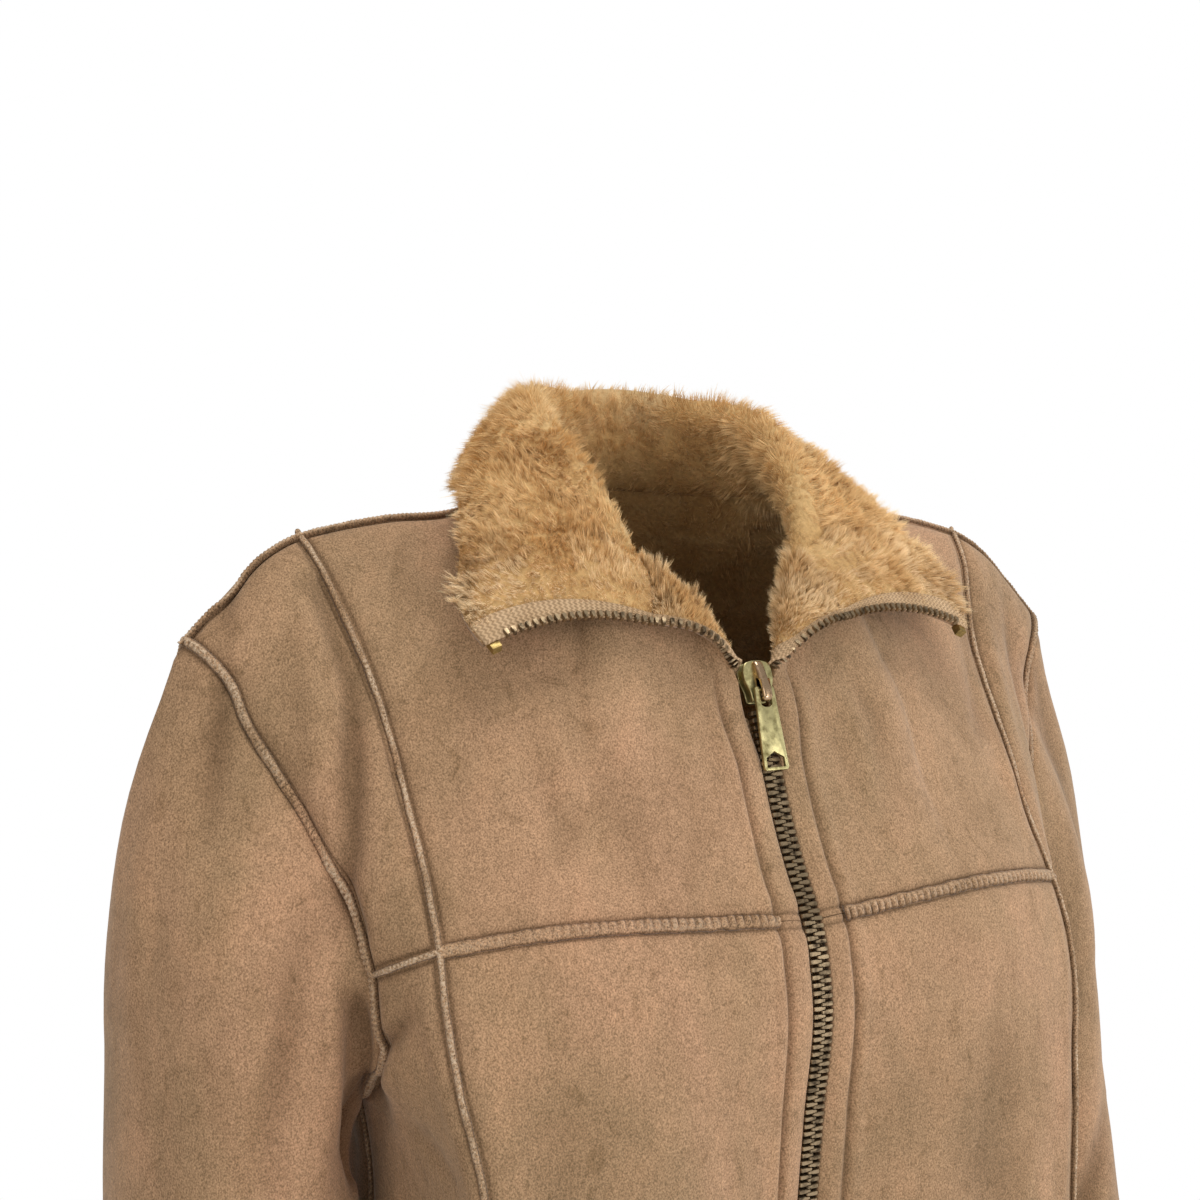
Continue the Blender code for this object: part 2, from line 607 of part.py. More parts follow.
def rim_faces(grid, start, end, at):
    """One step of a wall's rim, split the same way whichever piece it belongs to."""
    a, b = at(*start, 0), at(*end, 0)
    c, d = at(*end, 1), at(*start, 1)
    first, second = (vertex_key(grid[place] * MIRRORED) for place in (start, end))
    if grid[start][0] + grid[end][0] > 0:
        first, second = (vertex_key(grid[place]) for place in (start, end))
    if first < second:
        return [(a, c, b), (a, d, c)]
    return [(a, d, b), (b, d, c)]


def even(grid):
    return np.full(grid.shape[:2], CLOTH)


# How far the pile stands up, as a share: across the lapel from its edge, and up its height.
LAPEL_PILE_ACROSS = (0.0, 0.7, 0.8, 0.1)
LAPEL_PILE_UP = (0.0, 0.3, 0.6, 0.9, 1.0)
STAND_PILE = (0.0, 0.0, 0.2)  # and where the collar's stand is still low


def lapel_thickness(grid):
    pile = np.zeros(grid.shape[:2])
    for up, share_up in enumerate(LAPEL_PILE_UP):
        for across, share in enumerate(LAPEL_PILE_ACROSS):
            pile[CELLS_CHEST_UP + up, across] = share * share_up
    return CLOTH + (FUR - CLOTH) * pile


def collar_thickness(grid):
    """Pile over the whole collar, pressed flat in its seam and along its zip edges."""
    rows, columns = grid.shape[:2]
    pile = np.ones((rows, columns))
    pile[0] = 0.0
    pile[1] = 0.6
    pile[-1] = 0.5
    for k in range(CELLS_LAPEL_SEAM, CELLS_LAPEL_SEAM + len(STAND_PILE)):
        for row in range(4):
            share = STAND_PILE[k - CELLS_LAPEL_SEAM] + row * 0.2
            pile[row, k] = min(pile[row, k], share)
            pile[row, columns - 1 - k] = pile[row, k]
    for k, share in enumerate(LAPEL_PILE_ACROSS):
        pile[0, k] = pile[0, columns - 1 - k] = share
        if k < 2:
            pile[:, k] = np.minimum(pile[:, k], share)
            pile[:, columns - 1 - k] = np.minimum(pile[:, columns - 1 - k], share)
    return CLOTH + (FUR - CLOTH) * pile


# ---------------------------------------------------------------- ribbons along an edge
def ribbon(frames, across, depth):
    """A flat bar along frames (point, across, out), closed at both ends."""
    points = []
    for point, side, out in frames:
        for a, d in ((across[0], depth[0]), (across[1], depth[0]),
                     (across[1], depth[1]), (across[0], depth[1])):
            points.append(point + side * a + out * d)
    points = np.array(points)
    faces = []
    for k in range(len(frames) - 1):
        for c in range(4):
            n = (c + 1) % 4
            faces += triangles(4 * k + c, 4 * k + n, 4 * k + 4 + n, 4 * k + 4 + c, points)
    faces += triangles(3, 2, 1, 0, points)
    end = 4 * (len(frames) - 1)
    faces += triangles(end, end + 1, end + 2, end + 3, points)
    return points, faces


Edge = namedtuple("Edge", "point side out pile suede")


def zip_edge(walls):
    """The left zip edge from hem to collar corner: one Edge for each row of the cloth.

    point is on the suede; side runs into the cloth; out is from pile to suede along the rim;
    pile and suede are the cloth's two faces along that row, from the edge inward.
    """
    rows = []
    for outer, inner in walls:
        for k in range(len(outer)):
            if not rows or np.linalg.norm(outer[k, 0] - rows[-1][0][0]) > 4 * SEAM_GAP:
                rows.append((outer[k], inner[k]))
    points = np.array([suede[0] for suede, _ in rows])
    edges = []
    for k, (suede, pile) in enumerate(rows):
        along = units(points[min(k + 1, len(points) - 1)] - points[max(k - 1, 0)])
        out = units(suede[0] - pile[0])
        edges.append(Edge(suede[0], units(np.cross(along, out)), out, pile, suede))
    return edges


def tape_reach(edge):
    """How far the tape runs out past the cloth: to the middle, beside the slider, or free."""
    if edge.point[2] < slider_foot() - SLIDER_MARGIN:
        return edge.point[0] - TAPE_BEAD
    if near_slider(edge):
        return edge.point[0] - SLIDER_WIDTH / 2 - 2 * SEAM_GAP
    return ZIP_EDGE - TAPE_BEAD


def near_slider(edge):
    low, high = slider_foot() - SLIDER_MARGIN, ZIP_LINE[-1].z + SLIDER_HEIGHT / 2
    return low < edge.point[2] < high and edge.point[0] < SLIDER_ROOM + SEAM_GAP


def tape_grid(edges):
    """Front face of the left zip tape: from behind the teeth to behind the cloth."""
    rows = []
    for edge in edges:
        reach = tape_reach(edge)
        run = np.concatenate([[0.0], np.cumsum(np.linalg.norm(np.diff(edge.pile, axis=0), axis=1))])
        clear, width = TAPE_CLEAR, TAPE_WIDTH + TAPE_BEAD - ZIP_EDGE
        if near_slider(edge):
            clear, width = 2 * TAPE_LOOSE, width * TAPE_PINCH
        elif SLIDER_ROOM < edge.point[0] < FREE_EDGE:
            clear = TAPE_LOOSE
        line = [edge.point - edge.side * reach - edge.out * (CLOTH + clear)]
        for place in np.linspace(0, width, CELLS_TAPE + 1):
            pile, suede = ([np.interp(place, run, face[:, k]) for k in range(3)]
                           for face in (edge.pile, edge.suede))
            line.append(np.array(pile) + units(np.array(pile) - np.array(suede)) * clear)
        rows.append(line)
    return np.array(rows)


def chain_frames(edges):
    """The middle of the closed zip, from above the box to below the slider."""
    line = np.array([edge.point * np.array([0, 1, 1]) for edge in edges])
    low, high = -BODY_LENGTH + BOX_HEIGHT + SEAM_GAP, slider_foot() - SEAM_GAP
    return [(point, np.array([1.0, 0, 0]), out) for point, out in cut_line(line, low, high)]


def cut_line(line, low, high):
    """The part of a rising line in the YZ plane between two heights, with its normals."""
    heights = [z for z in line[:, 2] if low + 0.004 < z < high - 0.004]
    out = []
    for z in [low] + heights + [high]:
        y = np.interp(z, line[:, 2], line[:, 1])
        slope = np.interp(z + 0.004, line[:, 2], line[:, 1]) - np.interp(z - 0.004, line[:, 2], line[:, 1])
        out.append((np.array([0.0, y, z]), units(np.array([0.0, -0.008, slope]))))
    return out


def slider_foot():
    """Height of the lowest point of the slider."""
    return ZIP_LINE[-1].z - SLIDER_HEIGHT / 2 * BRIDGE_FOOT


def open_frames(edges, start, end):
    """Frames of the open left edge between two lengths, measured from the slider's top."""
    points = np.array([edge.point for edge in edges])
    first = int(np.argmin(np.linalg.norm(points - np.array(ZIP_LINE[-1]), axis=1)))
    run = np.concatenate([[0.0], np.cumsum(np.linalg.norm(np.diff(points[first:], axis=0), axis=1))])
    if end < 0:
        end = run[-1] + end
    if start < 0:
        start = run[-1] + start
    wanted = [start] + [r for r in run if start + 0.002 < r < end - 0.002] + [end]
    frames = []
    for r in wanted:
        mix = [np.array([np.interp(r, run, [getattr(edge, part)[k] for edge in edges[first:]])
                         for k in range(3)]) for part in ("point", "side", "out")]
        frames.append((mix[0], units(mix[1]), units(mix[2])))
    return frames


# ---------------------------------------------------------------- objects
def material(look, name):
    made = bpy.data.materials.get(name)
    if made:
        return made
    made = bpy.data.materials.new(name)
    made.use_nodes = True
    shader = made.node_tree.nodes["Principled BSDF"]
    shader.inputs["Base Color"].default_value = (*look.colour, 1.0)
    shader.inputs["Roughness"].default_value = look.roughness
    shader.inputs["Metallic"].default_value = look.metallic
    return made


def add_object(name, points, faces, look, collection):
    """A mesh object with its faces turned outward."""
    mesh = bpy.data.meshes.new(name)
    mesh.from_pydata([tuple(map(float, p)) for p in points], [], [tuple(map(int, f)) for f in faces])
    bm = bmesh.new()
    bm.from_mesh(mesh)
    bmesh.ops.recalc_face_normals(bm, faces=bm.faces)
    bm.to_mesh(mesh)
    bm.free()
    return link_object(name, mesh, look, collection)


def link_object(name, mesh, look, collection):
    item = bpy.data.objects.new(name, mesh)
    item.data.materials.clear()
    item.data.materials.append(material(look, name))
    collection.objects.link(item)
    return item


def outline_mesh(outlines, thickness, turn):
    """A flat outline with holes, extruded evenly about its plane and turned into place."""
    curve = bpy.data.curves.new("outline", "CURVE")
    curve.dimensions = "2D"
    curve.fill_mode = "BOTH"
    curve.extrude = thickness / 2
    for outline in outlines:
        line = curve.splines.new("POLY")
        line.points.add(len(outline) - 1)
        for point, (x, y) in zip(line.points, outline):
            point.co = (x, y, 0.0, 1.0)
        line.use_cyclic_u = True
    item = bpy.data.objects.new("outline", curve)
    bpy.context.scene.collection.objects.link(item)
    bpy.context.view_layer.update()
    mesh = bpy.data.meshes.new_from_object(item.evaluated_get(bpy.context.evaluated_depsgraph_get()))
    bpy.data.objects.remove(item)
    bm = bmesh.new()
    bm.from_mesh(mesh)
    bmesh.ops.remove_doubles(bm, verts=bm.verts, dist=1e-6)
    bmesh.ops.transform(bm, matrix=turn, verts=bm.verts)
    bmesh.ops.recalc_face_normals(bm, faces=bm.faces)
    bm.to_mesh(mesh)
    bm.free()
    return mesh


FACING = Matrix.Rotation(math.pi / 2, 4, "X")                       # outline x, y to X, Z
SIDEWAYS = Matrix(((0, 0, 1, 0), (1, 0, 0, 0), (0, 1, 0, 0), (0, 0, 0, 1)))  # to Y, Z


def united(name, base, extra, look, collection):
    """Two meshes joined into one closed body."""
    item = link_object(name, base, look, collection)
    tool = bpy.data.objects.new("tool", extra)
    bpy.context.scene.collection.objects.link(tool)
    join_up = item.modifiers.new("join", "BOOLEAN")
    join_up.operation = "UNION"
    join_up.object = tool
    bpy.context.view_layer.update()
    mesh = bpy.data.meshes.new_from_object(item.evaluated_get(bpy.context.evaluated_depsgraph_get()))
    item.modifiers.clear()
    item.data = mesh
    bpy.data.objects.remove(tool)
    return item


# ---------------------------------------------------------------- zip hardware
PIN_DROP = 0.0042          # the pull's pin, below the middle of the slider
PIN_REACH = 0.0047         # and out from the suede
PULL_LEAN = math.radians(2.6)
NOTCH_DEPTH = 0.0084
NOTCH_ROUND = 0.0012
NOTCH_WIDTH = BRIDGE_WIDTH + 0.0009
ARM_ABOVE_PIN = 0.0013
HOLE_WIDTH = 0.0088
HOLE_HEIGHT = 0.0063
HOLE_RIM = 0.0013
BRIDGE_FOOT = 1.06         # the bridge's lowest point, as a share of the slider's half height
TAPE_CLEAR = 0.0004        # between the tape and the pile behind it
TAPE_LOOSE = 0.0011        # the same where the edge turns out above the slider
FREE_EDGE = 0.0400         # past here the turned-out edge runs straight
TAPE_PINCH = 0.6           # its width behind the cloth beside the slider, as a share
TEETH_IN = 0.0012          # where the open teeth leave the slider: off the cloth's edge
TEETH_OUT = 0.0008         # and out from the suede
SLIDER_MARGIN = 0.0050     # the tape stays beside the slider this far below it


def slider_frame():
    """Where the slider sits: its middle, and the slope of the chest there."""
    low, high = np.array(ZIP_LINE[-3]), np.array(ZIP_LINE[-1])
    slope = math.atan2(high[1] - low[1], high[2] - low[2])
    return Matrix.Translation((0.0, high[1], high[2])) @ Matrix.Rotation(-slope, 4, "X")


def mirrored_outline(half):
    return half + [(-x, y) for x, y in reversed(half)]


def add_slider(collection):
    w, h = SLIDER_WIDTH / 2, SLIDER_HEIGHT / 2
    face = mirrored_outline([(w * 0.35, h), (w * 0.80, h * 0.86), (w, h * 0.55), (w, h * 0.05),
                             (w * 0.72, -h * 0.45), (w * 0.70, -h)])
    depth = SLIDER_FRONT + SLIDER_BACK
    body = outline_mesh([face], depth, Matrix.Translation((0, (SLIDER_BACK - SLIDER_FRONT) / 2, 0)) @ FACING)
    root = -SLIDER_FRONT + 0.0006
    reach, beam = -BRIDGE_REACH, 0.0019
    arch = [(root, h * 0.96), (-BRIDGE_HEAD + 0.0010, h * 0.94), (-BRIDGE_HEAD, h * 0.76),
            (reach, -h * 0.40), (reach, -h * 0.88), (reach + 0.0012, -h * BRIDGE_FOOT), (root, -h * 0.99)]
    window = [(root - 0.0008, 0.0), (reach + beam, -h * 0.10), (reach + beam, -h * 0.74),
              (root - 0.0008, -h * 0.80)]
    bridge = outline_mesh([arch, window], BRIDGE_WIDTH, SIDEWAYS)
    slider = united("zip_slider", body, bridge, BRASS, collection)
    slider.matrix_world = slider_frame()
    return slider


def add_pull(collection):
    """The pull tab, with its origin on its pin."""
    top, low = PULL_TOP_WIDTH / 2, PULL_WIDTH / 2
    end = ARM_ABOVE_PIN - PULL_LENGTH
    notch = NOTCH_WIDTH / 2
    bottom = ARM_ABOVE_PIN - NOTCH_DEPTH
    face = [(notch, ARM_ABOVE_PIN), (top - 0.0006, ARM_ABOVE_PIN), (top, ARM_ABOVE_PIN - 0.0008),
            (low, end + 0.0010), (low - 0.0008, end), (-low + 0.0008, end), (-low, end + 0.0010),
            (-top, ARM_ABOVE_PIN - 0.0008), (-top + 0.0006, ARM_ABOVE_PIN), (-notch, ARM_ABOVE_PIN)]
    arc = [(-notch * math.cos(a), bottom + NOTCH_ROUND * (1 - math.sin(a)))
           for a in np.linspace(0, math.pi, 9)]
    wide, sill = HOLE_WIDTH / 2, end + HOLE_RIM
    hole = [(-wide, sill), (wide, sill), (wide, sill + HOLE_HEIGHT * 0.6), (0, sill + HOLE_HEIGHT),
            (-wide, sill + HOLE_HEIGHT * 0.6)]
    plate = outline_mesh([face + arc, hole], PULL_DEPTH, FACING)
    bm = bmesh.new()
    bmesh.ops.create_cone(bm, cap_ends=True, segments=12, radius1=PIN_RADIUS, radius2=PIN_RADIUS,
                          depth=NOTCH_WIDTH + 0.0016, matrix=Matrix.Rotation(math.pi / 2, 4, "Y"))
    pin = bpy.data.meshes.new("pin")
    bm.to_mesh(pin)
    bm.free()
    pull = united("zip_pull", plate, pin, BRASS, collection)
    seat = slider_frame() @ Matrix.Translation((0, -PIN_REACH, -PIN_DROP))
    pull.matrix_world = seat @ Matrix.Rotation(PULL_LEAN, 4, "X")
    return pull


def add_zip(walls, collection):
    """The chain, both tapes, the open rows of teeth, the top stops and the box."""
    edges = zip_edge([[face[:, :4] for face in walls[name]]
                      for name in ("front_lower_centre_left", "front_upper_centre_left", "collar")])
    tape = tape_grid(edges)
    inner = tape - grid_normals(tape) * TAPE_DEPTH
    points, faces = wall_mesh(tape, False, tape, inner)
    add_both("zip_tape", points, faces, TAPE, collection)
    add_object("zip_chain", *ribbon(chain_frames(edges), (-CHAIN_WIDTH / 2, CHAIN_WIDTH / 2),
                                    (-CLOTH, CHAIN_PROUD)), TEETH, collection)
    low = -BODY_LENGTH
    box = cut_line(np.array([edge.point for edge in edges[:4]]), low, low + BOX_HEIGHT)
    box = [(point, np.array([1.0, 0, 0]), out) for point, out in (box[0], box[-1])]
    add_object("zip_box", *ribbon(box, (-CHAIN_WIDTH / 2, CHAIN_WIDTH / 2), (-CLOTH, BOX_PROUD)),
               BRASS, collection)
    teeth = open_frames(edges, SLIDER_HEIGHT * 0.55, -STOP_MARGIN - STOP_LENGTH - SEAM_GAP)
    across = (SEAM_GAP - ZIP_EDGE, -2 * SEAM_GAP)
    teeth[0] = (teeth[0][0] - teeth[0][1] * TEETH_IN + teeth[0][2] * TEETH_OUT, *teeth[0][1:])
    add_both("zip_teeth", *ribbon(teeth, across, (-CLOTH, CHAIN_PROUD)), TEETH, collection)
    stop = open_frames(edges, -STOP_MARGIN - STOP_LENGTH, -STOP_MARGIN)
    stop = [stop[0], stop[-1]]
    across = (-SEAM_GAP - STOP_WIDTH, -SEAM_GAP)
    add_both("zip_top_stop", *ribbon(stop, across, (-CLOTH, CHAIN_PROUD)), BRASS, collection)


def add_both(name, points, faces, look, collection):
    add_object(name + "_left", points, faces, look, collection)
    add_object(name + "_right", points * MIRRORED, faces, look, collection)


# ---------------------------------------------------------------- assembly
def both_sides(name, grid):
    return [(name + "_left", grid, False), (name + "_right", mirrored(grid), False)]


def build():
    for item in list(bpy.data.objects):
        bpy.data.objects.remove(item)
    collection = bpy.data.collections.new("shearling_jacket")
    bpy.context.scene.collection.children.link(collection)
    s = sample_seams()
    chest = grid_chest_centre(s)
    collar_half = grid_collar_half(s)
    collar = np.concatenate([collar_half, mirrored(collar_half)[:, 1:]], axis=1)
    half = grid_back_half(s)
    back = np.concatenate([mirrored(half), half[:, 1:]], axis=1)[:, ::-1]
    sleeve = grid_sleeve(s)[:, ::-1]
    pieces = (both_sides("front_upper_centre", chest)
              + both_sides("front_upper_side", grid_chest_side(s))
              + both_sides("front_lower_centre", grid_lower_centre(s))
              + both_sides("front_lower_side", grid_lower_side(s))
              + [("back", back, False), ("collar", collar, False)]
              + [("sleeve_left", sleeve, True), ("sleeve_right", mirrored(sleeve), True)])
    meeting = collect_seam_normals([(grid, closed) for _, grid, closed in pieces])
    walls = {}
    for name, grid, closed in pieces:
        thickness = even(grid)
        look = SUEDE
        if name.startswith("front_upper_centre"):
            thickness = lapel_thickness(grid)
            if name.endswith("right"):
                thickness = thickness[:, ::-1]
        if name == "collar":
            thickness = collar_thickness(grid)
            look = PILE
        walls[name] = wall(grid, closed, meeting, thickness)
        points, faces = wall_mesh(grid, closed, *walls[name])
        add_object(name, points, faces, look, collection)
    add_zip(walls, collection)
    add_slider(collection)
    add_pull(collection)


build()
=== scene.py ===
"""Looks for the shearling jacket: its cloth, pile, seams and zip, lit as in a studio.

Metres, +Z up, in the part's frame.  The wearer faces -Y and the wearer's left is +X.  The cloth
repeats the part's own seam curves, cut into finer cells, so that every panel here lies on its
solid.  Each panel is a thin closed wall: suede outside, pile inside.
"""
import math
from collections import namedtuple

import bmesh
import bpy
import numpy as np
from mathutils import Matrix, Vector, kdtree


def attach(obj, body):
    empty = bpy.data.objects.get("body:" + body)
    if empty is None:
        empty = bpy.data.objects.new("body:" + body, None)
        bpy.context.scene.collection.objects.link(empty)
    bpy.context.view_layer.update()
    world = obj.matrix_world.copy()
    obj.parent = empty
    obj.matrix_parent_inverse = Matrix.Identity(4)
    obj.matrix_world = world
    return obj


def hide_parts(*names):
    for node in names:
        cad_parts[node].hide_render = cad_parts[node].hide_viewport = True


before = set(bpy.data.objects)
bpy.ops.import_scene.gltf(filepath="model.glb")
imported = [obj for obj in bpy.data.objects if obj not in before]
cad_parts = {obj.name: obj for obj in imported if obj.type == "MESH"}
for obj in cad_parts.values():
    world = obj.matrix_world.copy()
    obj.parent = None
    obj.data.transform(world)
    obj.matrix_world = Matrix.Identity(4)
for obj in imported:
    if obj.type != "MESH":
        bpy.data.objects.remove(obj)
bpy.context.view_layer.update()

# ---------------------------------------------------------------- the part's own sizes
SEAM_GAP = 0.0003          # clear space between two cut pieces at a seam
CLOTH = 0.003              # suede with its pile pressed flat
FUR = 0.009                # suede with its pile standing, on the rolled collar
FUR_UNDER_STRANDS = 0.4    # share of the standing pile that the cloth's own wall stands for
BODY_LENGTH = 0.64         # neck side of the shoulder to the hem
CHEST_SEAM_DROP = 0.2      # the same point down to the chest seam
CHAIN_WIDTH = 0.0093       # closed zip, over both rows of teeth
TAPE_BEAD = 0.001          # from the middle of the closed zip to the tape's edge
STOP_LENGTH = 0.004        # top stops, past the last tooth
STOP_MARGIN = 0.0015       # collar corner to stop
BOX_HEIGHT = 0.01
SLIDER_WIDTH = 0.014
SLIDER_HEIGHT = 0.0172
SLIDER_FRONT = 0.003       # its front face, out from the suede
SLIDER_BACK = 0.003
BRIDGE_WIDTH = 0.0043
BRIDGE_REACH = 0.0077      # its outer face at its foot, out from the suede
BRIDGE_HEAD = 0.0052       # and at its head
PULL_TOP_WIDTH = 0.0094
PULL_WIDTH = 0.012
PULL_LENGTH = 0.0342
PULL_DEPTH = 0.0015
MITRE_LIMIT = 1.1          # longest seam edge, as a multiple of the cloth's thickness

ZIP_EDGE = CHAIN_WIDTH / 2 + SEAM_GAP   # half the gap between the two front edges

# Fine cells for each cell of the solid: across a panel, above the chest seam, and below it.
ACROSS, UP, DOWN = 5, 5, 7
CELLS_LAPEL_SEAM = 3 * ACROSS      # zip edge to roll line, on the turned-out lapel
CELLS_NECK_FRONT = 4 * ACROSS      # roll line to shoulder seam
CELLS_NECK_BACK = 5 * ACROSS       # shoulder seam to centre back
CELLS_SHOULDER_IN = 6 * ACROSS     # neck to princess seam
CELLS_SHOULDER_OUT = 5 * ACROSS    # princess seam to armhole
CELLS_CHEST_UP = 8 * UP            # chest seam to slider
CELLS_LAPEL_EDGE = 4 * UP          # slider to collar seam
CELLS_BELOW = 11 * DOWN            # hem to chest seam
CELLS_ARM_LOW = 3 * DOWN           # chest seam to underarm, along the armhole
CELLS_ARM_BACK = 7 * DOWN          # underarm to shoulder, along the back of the armhole
CELLS_COLLAR = 9 * 5               # across the collar, seam to outer edge
CELLS_SLEEVE_CAP = 5 * 4
CELLS_SLEEVE_ARM = 7 * 10
CELLS_FRONT = CELLS_LAPEL_SEAM + CELLS_NECK_FRONT + CELLS_SHOULDER_IN
CELLS_CHEST = CELLS_CHEST_UP + CELLS_LAPEL_EDGE
CELLS_SIDE = CELLS_BELOW - CELLS_ARM_LOW

At = namedtuple("At", "x y z")

# ---------------------------------------------------------------- sections of the body
# One row for each level below the armhole, from the hem up.
Level = namedtuple("Level", "z centre_y princess_x princess_y side_x side_y back_y")
LEVELS = [
    Level(-BODY_LENGTH, -0.101, 0.153, -0.096, 0.176, 0.004, 0.114),
    Level(-0.53, -0.095, 0.145, -0.092, 0.162, 0.004, 0.108),
    Level(-0.42, -0.086, 0.138, -0.087, 0.147, 0.004, 0.098),
    Level(-0.33, -0.087, 0.14, -0.0915, 0.144, 0.004, 0.103),
    Level(-0.279, -0.0965, 0.1444, -0.0935, 0.146, 0.004, 0.11),
]
BUST = At(0.0, -0.1063, -0.23)          # foremost point of the centre front
CHEST_CENTRE = At(0.0, -0.102, -CHEST_SEAM_DROP)

# ---------------------------------------------------------------- seam curves, left half
SLIDER_ROOM = 0.0083       # half the gap between the front edges where the slider sits
ZIP_LINE = [At(ZIP_EDGE, *CHEST_CENTRE[1:]), At(ZIP_EDGE, -0.0884, -0.1698),
            At(ZIP_EDGE, -0.0787, -0.1382), At(SLIDER_ROOM, -0.0735, -0.118),
            At(SLIDER_ROOM, -0.0712, -0.107)]
LAPEL_EDGE = [ZIP_LINE[-1], At(0.014, -0.072, -0.0975),
              At(0.024, -0.0735, -0.089), At(0.0475, -0.068, -0.082)]
COLLAR_FRONT = [LAPEL_EDGE[-1], At(0.072, -0.0645, -0.0785), At(0.098, -0.0635, -0.0815),
                At(0.119, -0.062, -0.0885)]
NECK_TOP = At(0.07, -0.002, -0.02)   # neck side of the shoulder seam
ROLL_CROSS = At(0.041, -0.048, -0.056) # where the collar seam meets the roll line
LAPEL_SEAM = [LAPEL_EDGE[-1], At(0.0425, -0.059, -0.068), ROLL_CROSS]
NECK_FRONT = [ROLL_CROSS, At(0.057, -0.035, -0.043), At(0.0675, -0.019, -0.029), NECK_TOP]
NECK_BACK = [NECK_TOP, At(0.06, 0.035, -0.018), At(0.035, 0.061, -0.014),
             At(0.0, 0.069, -0.012)]
SHOULDER_IN = [NECK_TOP, At(0.1, -0.003, -0.031), At(0.13, -0.0035, -0.033),
               At(0.15, -0.004, -0.036), At(0.168, -0.0045, -0.04)]
SHOULDER_OUT = [SHOULDER_IN[-1], At(0.185, -0.005, -0.049), At(0.198, -0.0055, -0.062),
                At(0.2167, -0.0055, -0.081)]
PRINCESS = [At(0.15, -0.078, -0.1983), At(0.149, -0.0629, -0.1627),
            At(0.1496, -0.0518, -0.1392), At(0.153, -0.035, -0.1002),
            At(0.1579, -0.0251, -0.0761), At(0.1637, -0.0165, -0.0553), SHOULDER_IN[-1]]
PRINCESS_BUST = At(0.1508, -0.0888, -0.24)   # on the princess seam, below the chest seam
ARM_FRONT = [At(0.1657, -0.0515, -0.208), At(0.1752, -0.0425, -0.17),
             At(0.1818, -0.034, -0.149), At(0.1905, -0.0255, -0.13),
             At(0.1985, -0.0195, -0.113), At(0.2025, -0.0185, -0.1),
             At(0.2095, -0.0145, -0.089), SHOULDER_OUT[-1]]
UNDERARM = At(0.149, 0.004, -0.262)
ARM_LOW = [UNDERARM, At(0.154, -0.022, -0.256), At(0.16, -0.044, -0.24),
           At(0.1637, -0.049, -0.224), ARM_FRONT[0]]
ARM_BACK = [UNDERARM, At(0.16, 0.038, -0.243), At(0.176, 0.056, -0.2),
            At(0.19, 0.051, -0.158), At(0.203, 0.034, -0.12),
            At(0.213, 0.012, -0.093), SHOULDER_OUT[-1]]
CHEST_SEAM = [CHEST_CENTRE, At(0.05, -0.1015, -0.1965), At(0.1, -0.094, -0.1945),
              PRINCESS[0]]
CHEST_SIDE = [PRINCESS[0], At(0.1608, -0.0668, -0.203), ARM_FRONT[0]]

# Chest net: one row for each control level of the upper centre front.
Net = namedtuple("Net", "row roll neck mid")
CHEST_NET = [
    Net(4 * UP, At(0.036, -0.0875, -0.16), At(0.082, -0.08, -0.16), At(0.118, -0.0725, -0.161)),
    Net(8 * UP, At(0.023, -0.068, -0.102), At(0.076, -0.059, -0.099), At(0.118, -0.0465, -0.096)),
    Net(10 * UP, At(0.024, -0.0605, -0.079), At(0.071, -0.047, -0.072), At(0.118, -0.032, -0.068)),
]
NET_COLUMNS = (CELLS_LAPEL_SEAM, CELLS_LAPEL_SEAM + CELLS_NECK_FRONT, CELLS_FRONT - 3 * ACROSS)

# Collar, suede side: where it rolls over, and its free outer edge, from front to centre back.
ROLL = [ROLL_CROSS, At(0.05, -0.041, -0.037), At(0.057, -0.02, -0.011),
        At(0.056, 0.004, 0.0095), At(0.0412, 0.035, 0.0195), At(0.024, 0.059, 0.027),
        At(0.0, 0.07, 0.028)]
ROLL_AT_SHOULDER = 3
COLLAR_EDGE = [COLLAR_FRONT[-1], At(0.121, -0.047, -0.072), At(0.114, -0.037, -0.057),
               At(0.104, -0.022, -0.038), At(0.0905, -0.003, -0.025),
               At(0.0745, 0.033, -0.018), At(0.045, 0.069, -0.014), At(0.0, 0.086, -0.009)]
EDGE_AT_CROSS = 2
EDGE_AT_SHOULDER = 4
ROLL_RADIUS = 0.0045

# Centre back, from the underarm level up to the neck.
BACK_LINE = [At(0.0, 0.112, -0.262), At(0.0, 0.115, -0.2), At(0.0, 0.112, -0.14),
             At(0.0, 0.102, -0.085), At(0.0, 0.086, -0.042), NECK_BACK[-1]]

# Sleeve sections below the cap: centre, half width across, half depth front to back.
Ring = namedtuple("Ring", "x y z across deep")
SLEEVE = [
    Ring(0.1985, 0.023, -0.298, 0.044, 0.063),
    Ring(0.2045, 0.018, -0.37, 0.043, 0.061),
    Ring(0.212, 0.008, -0.47, 0.042, 0.058),
    Ring(0.219, -0.006, -0.56, 0.04, 0.055),
    Ring(0.225, -0.021, -0.645, 0.038, 0.052),
]

CAP_PUFF = 0.006           # fullness of the sleeve head, most at its front and outside
CAP_PUFF_TURN = math.radians(35)
UNDERARM_TURN = math.radians(165)   # round the sleeve, from its outside by its front

# ---------------------------------------------------------------- curves and lofts
TINY_STEP = 1e-9           # no two points of a line count as nearer than this
LOOSE = 6                  # steps between the points of a fold or a parting


def millimetres(rows):
    """Points given in whole millimetres."""
    return [At(*(value / 1000 for value in row)) for row in rows]


def between(t, width, start, end, slope, end_slope):
    """The place at the share t of a smooth curve's way from start to end."""
    return ((2 * t**3 - 3 * t**2 + 1) * start + (t**3 - 2 * t**2 + t) * width * slope
            + (-2 * t**3 + 3 * t**2) * end + (t**3 - t**2) * width * end_slope)


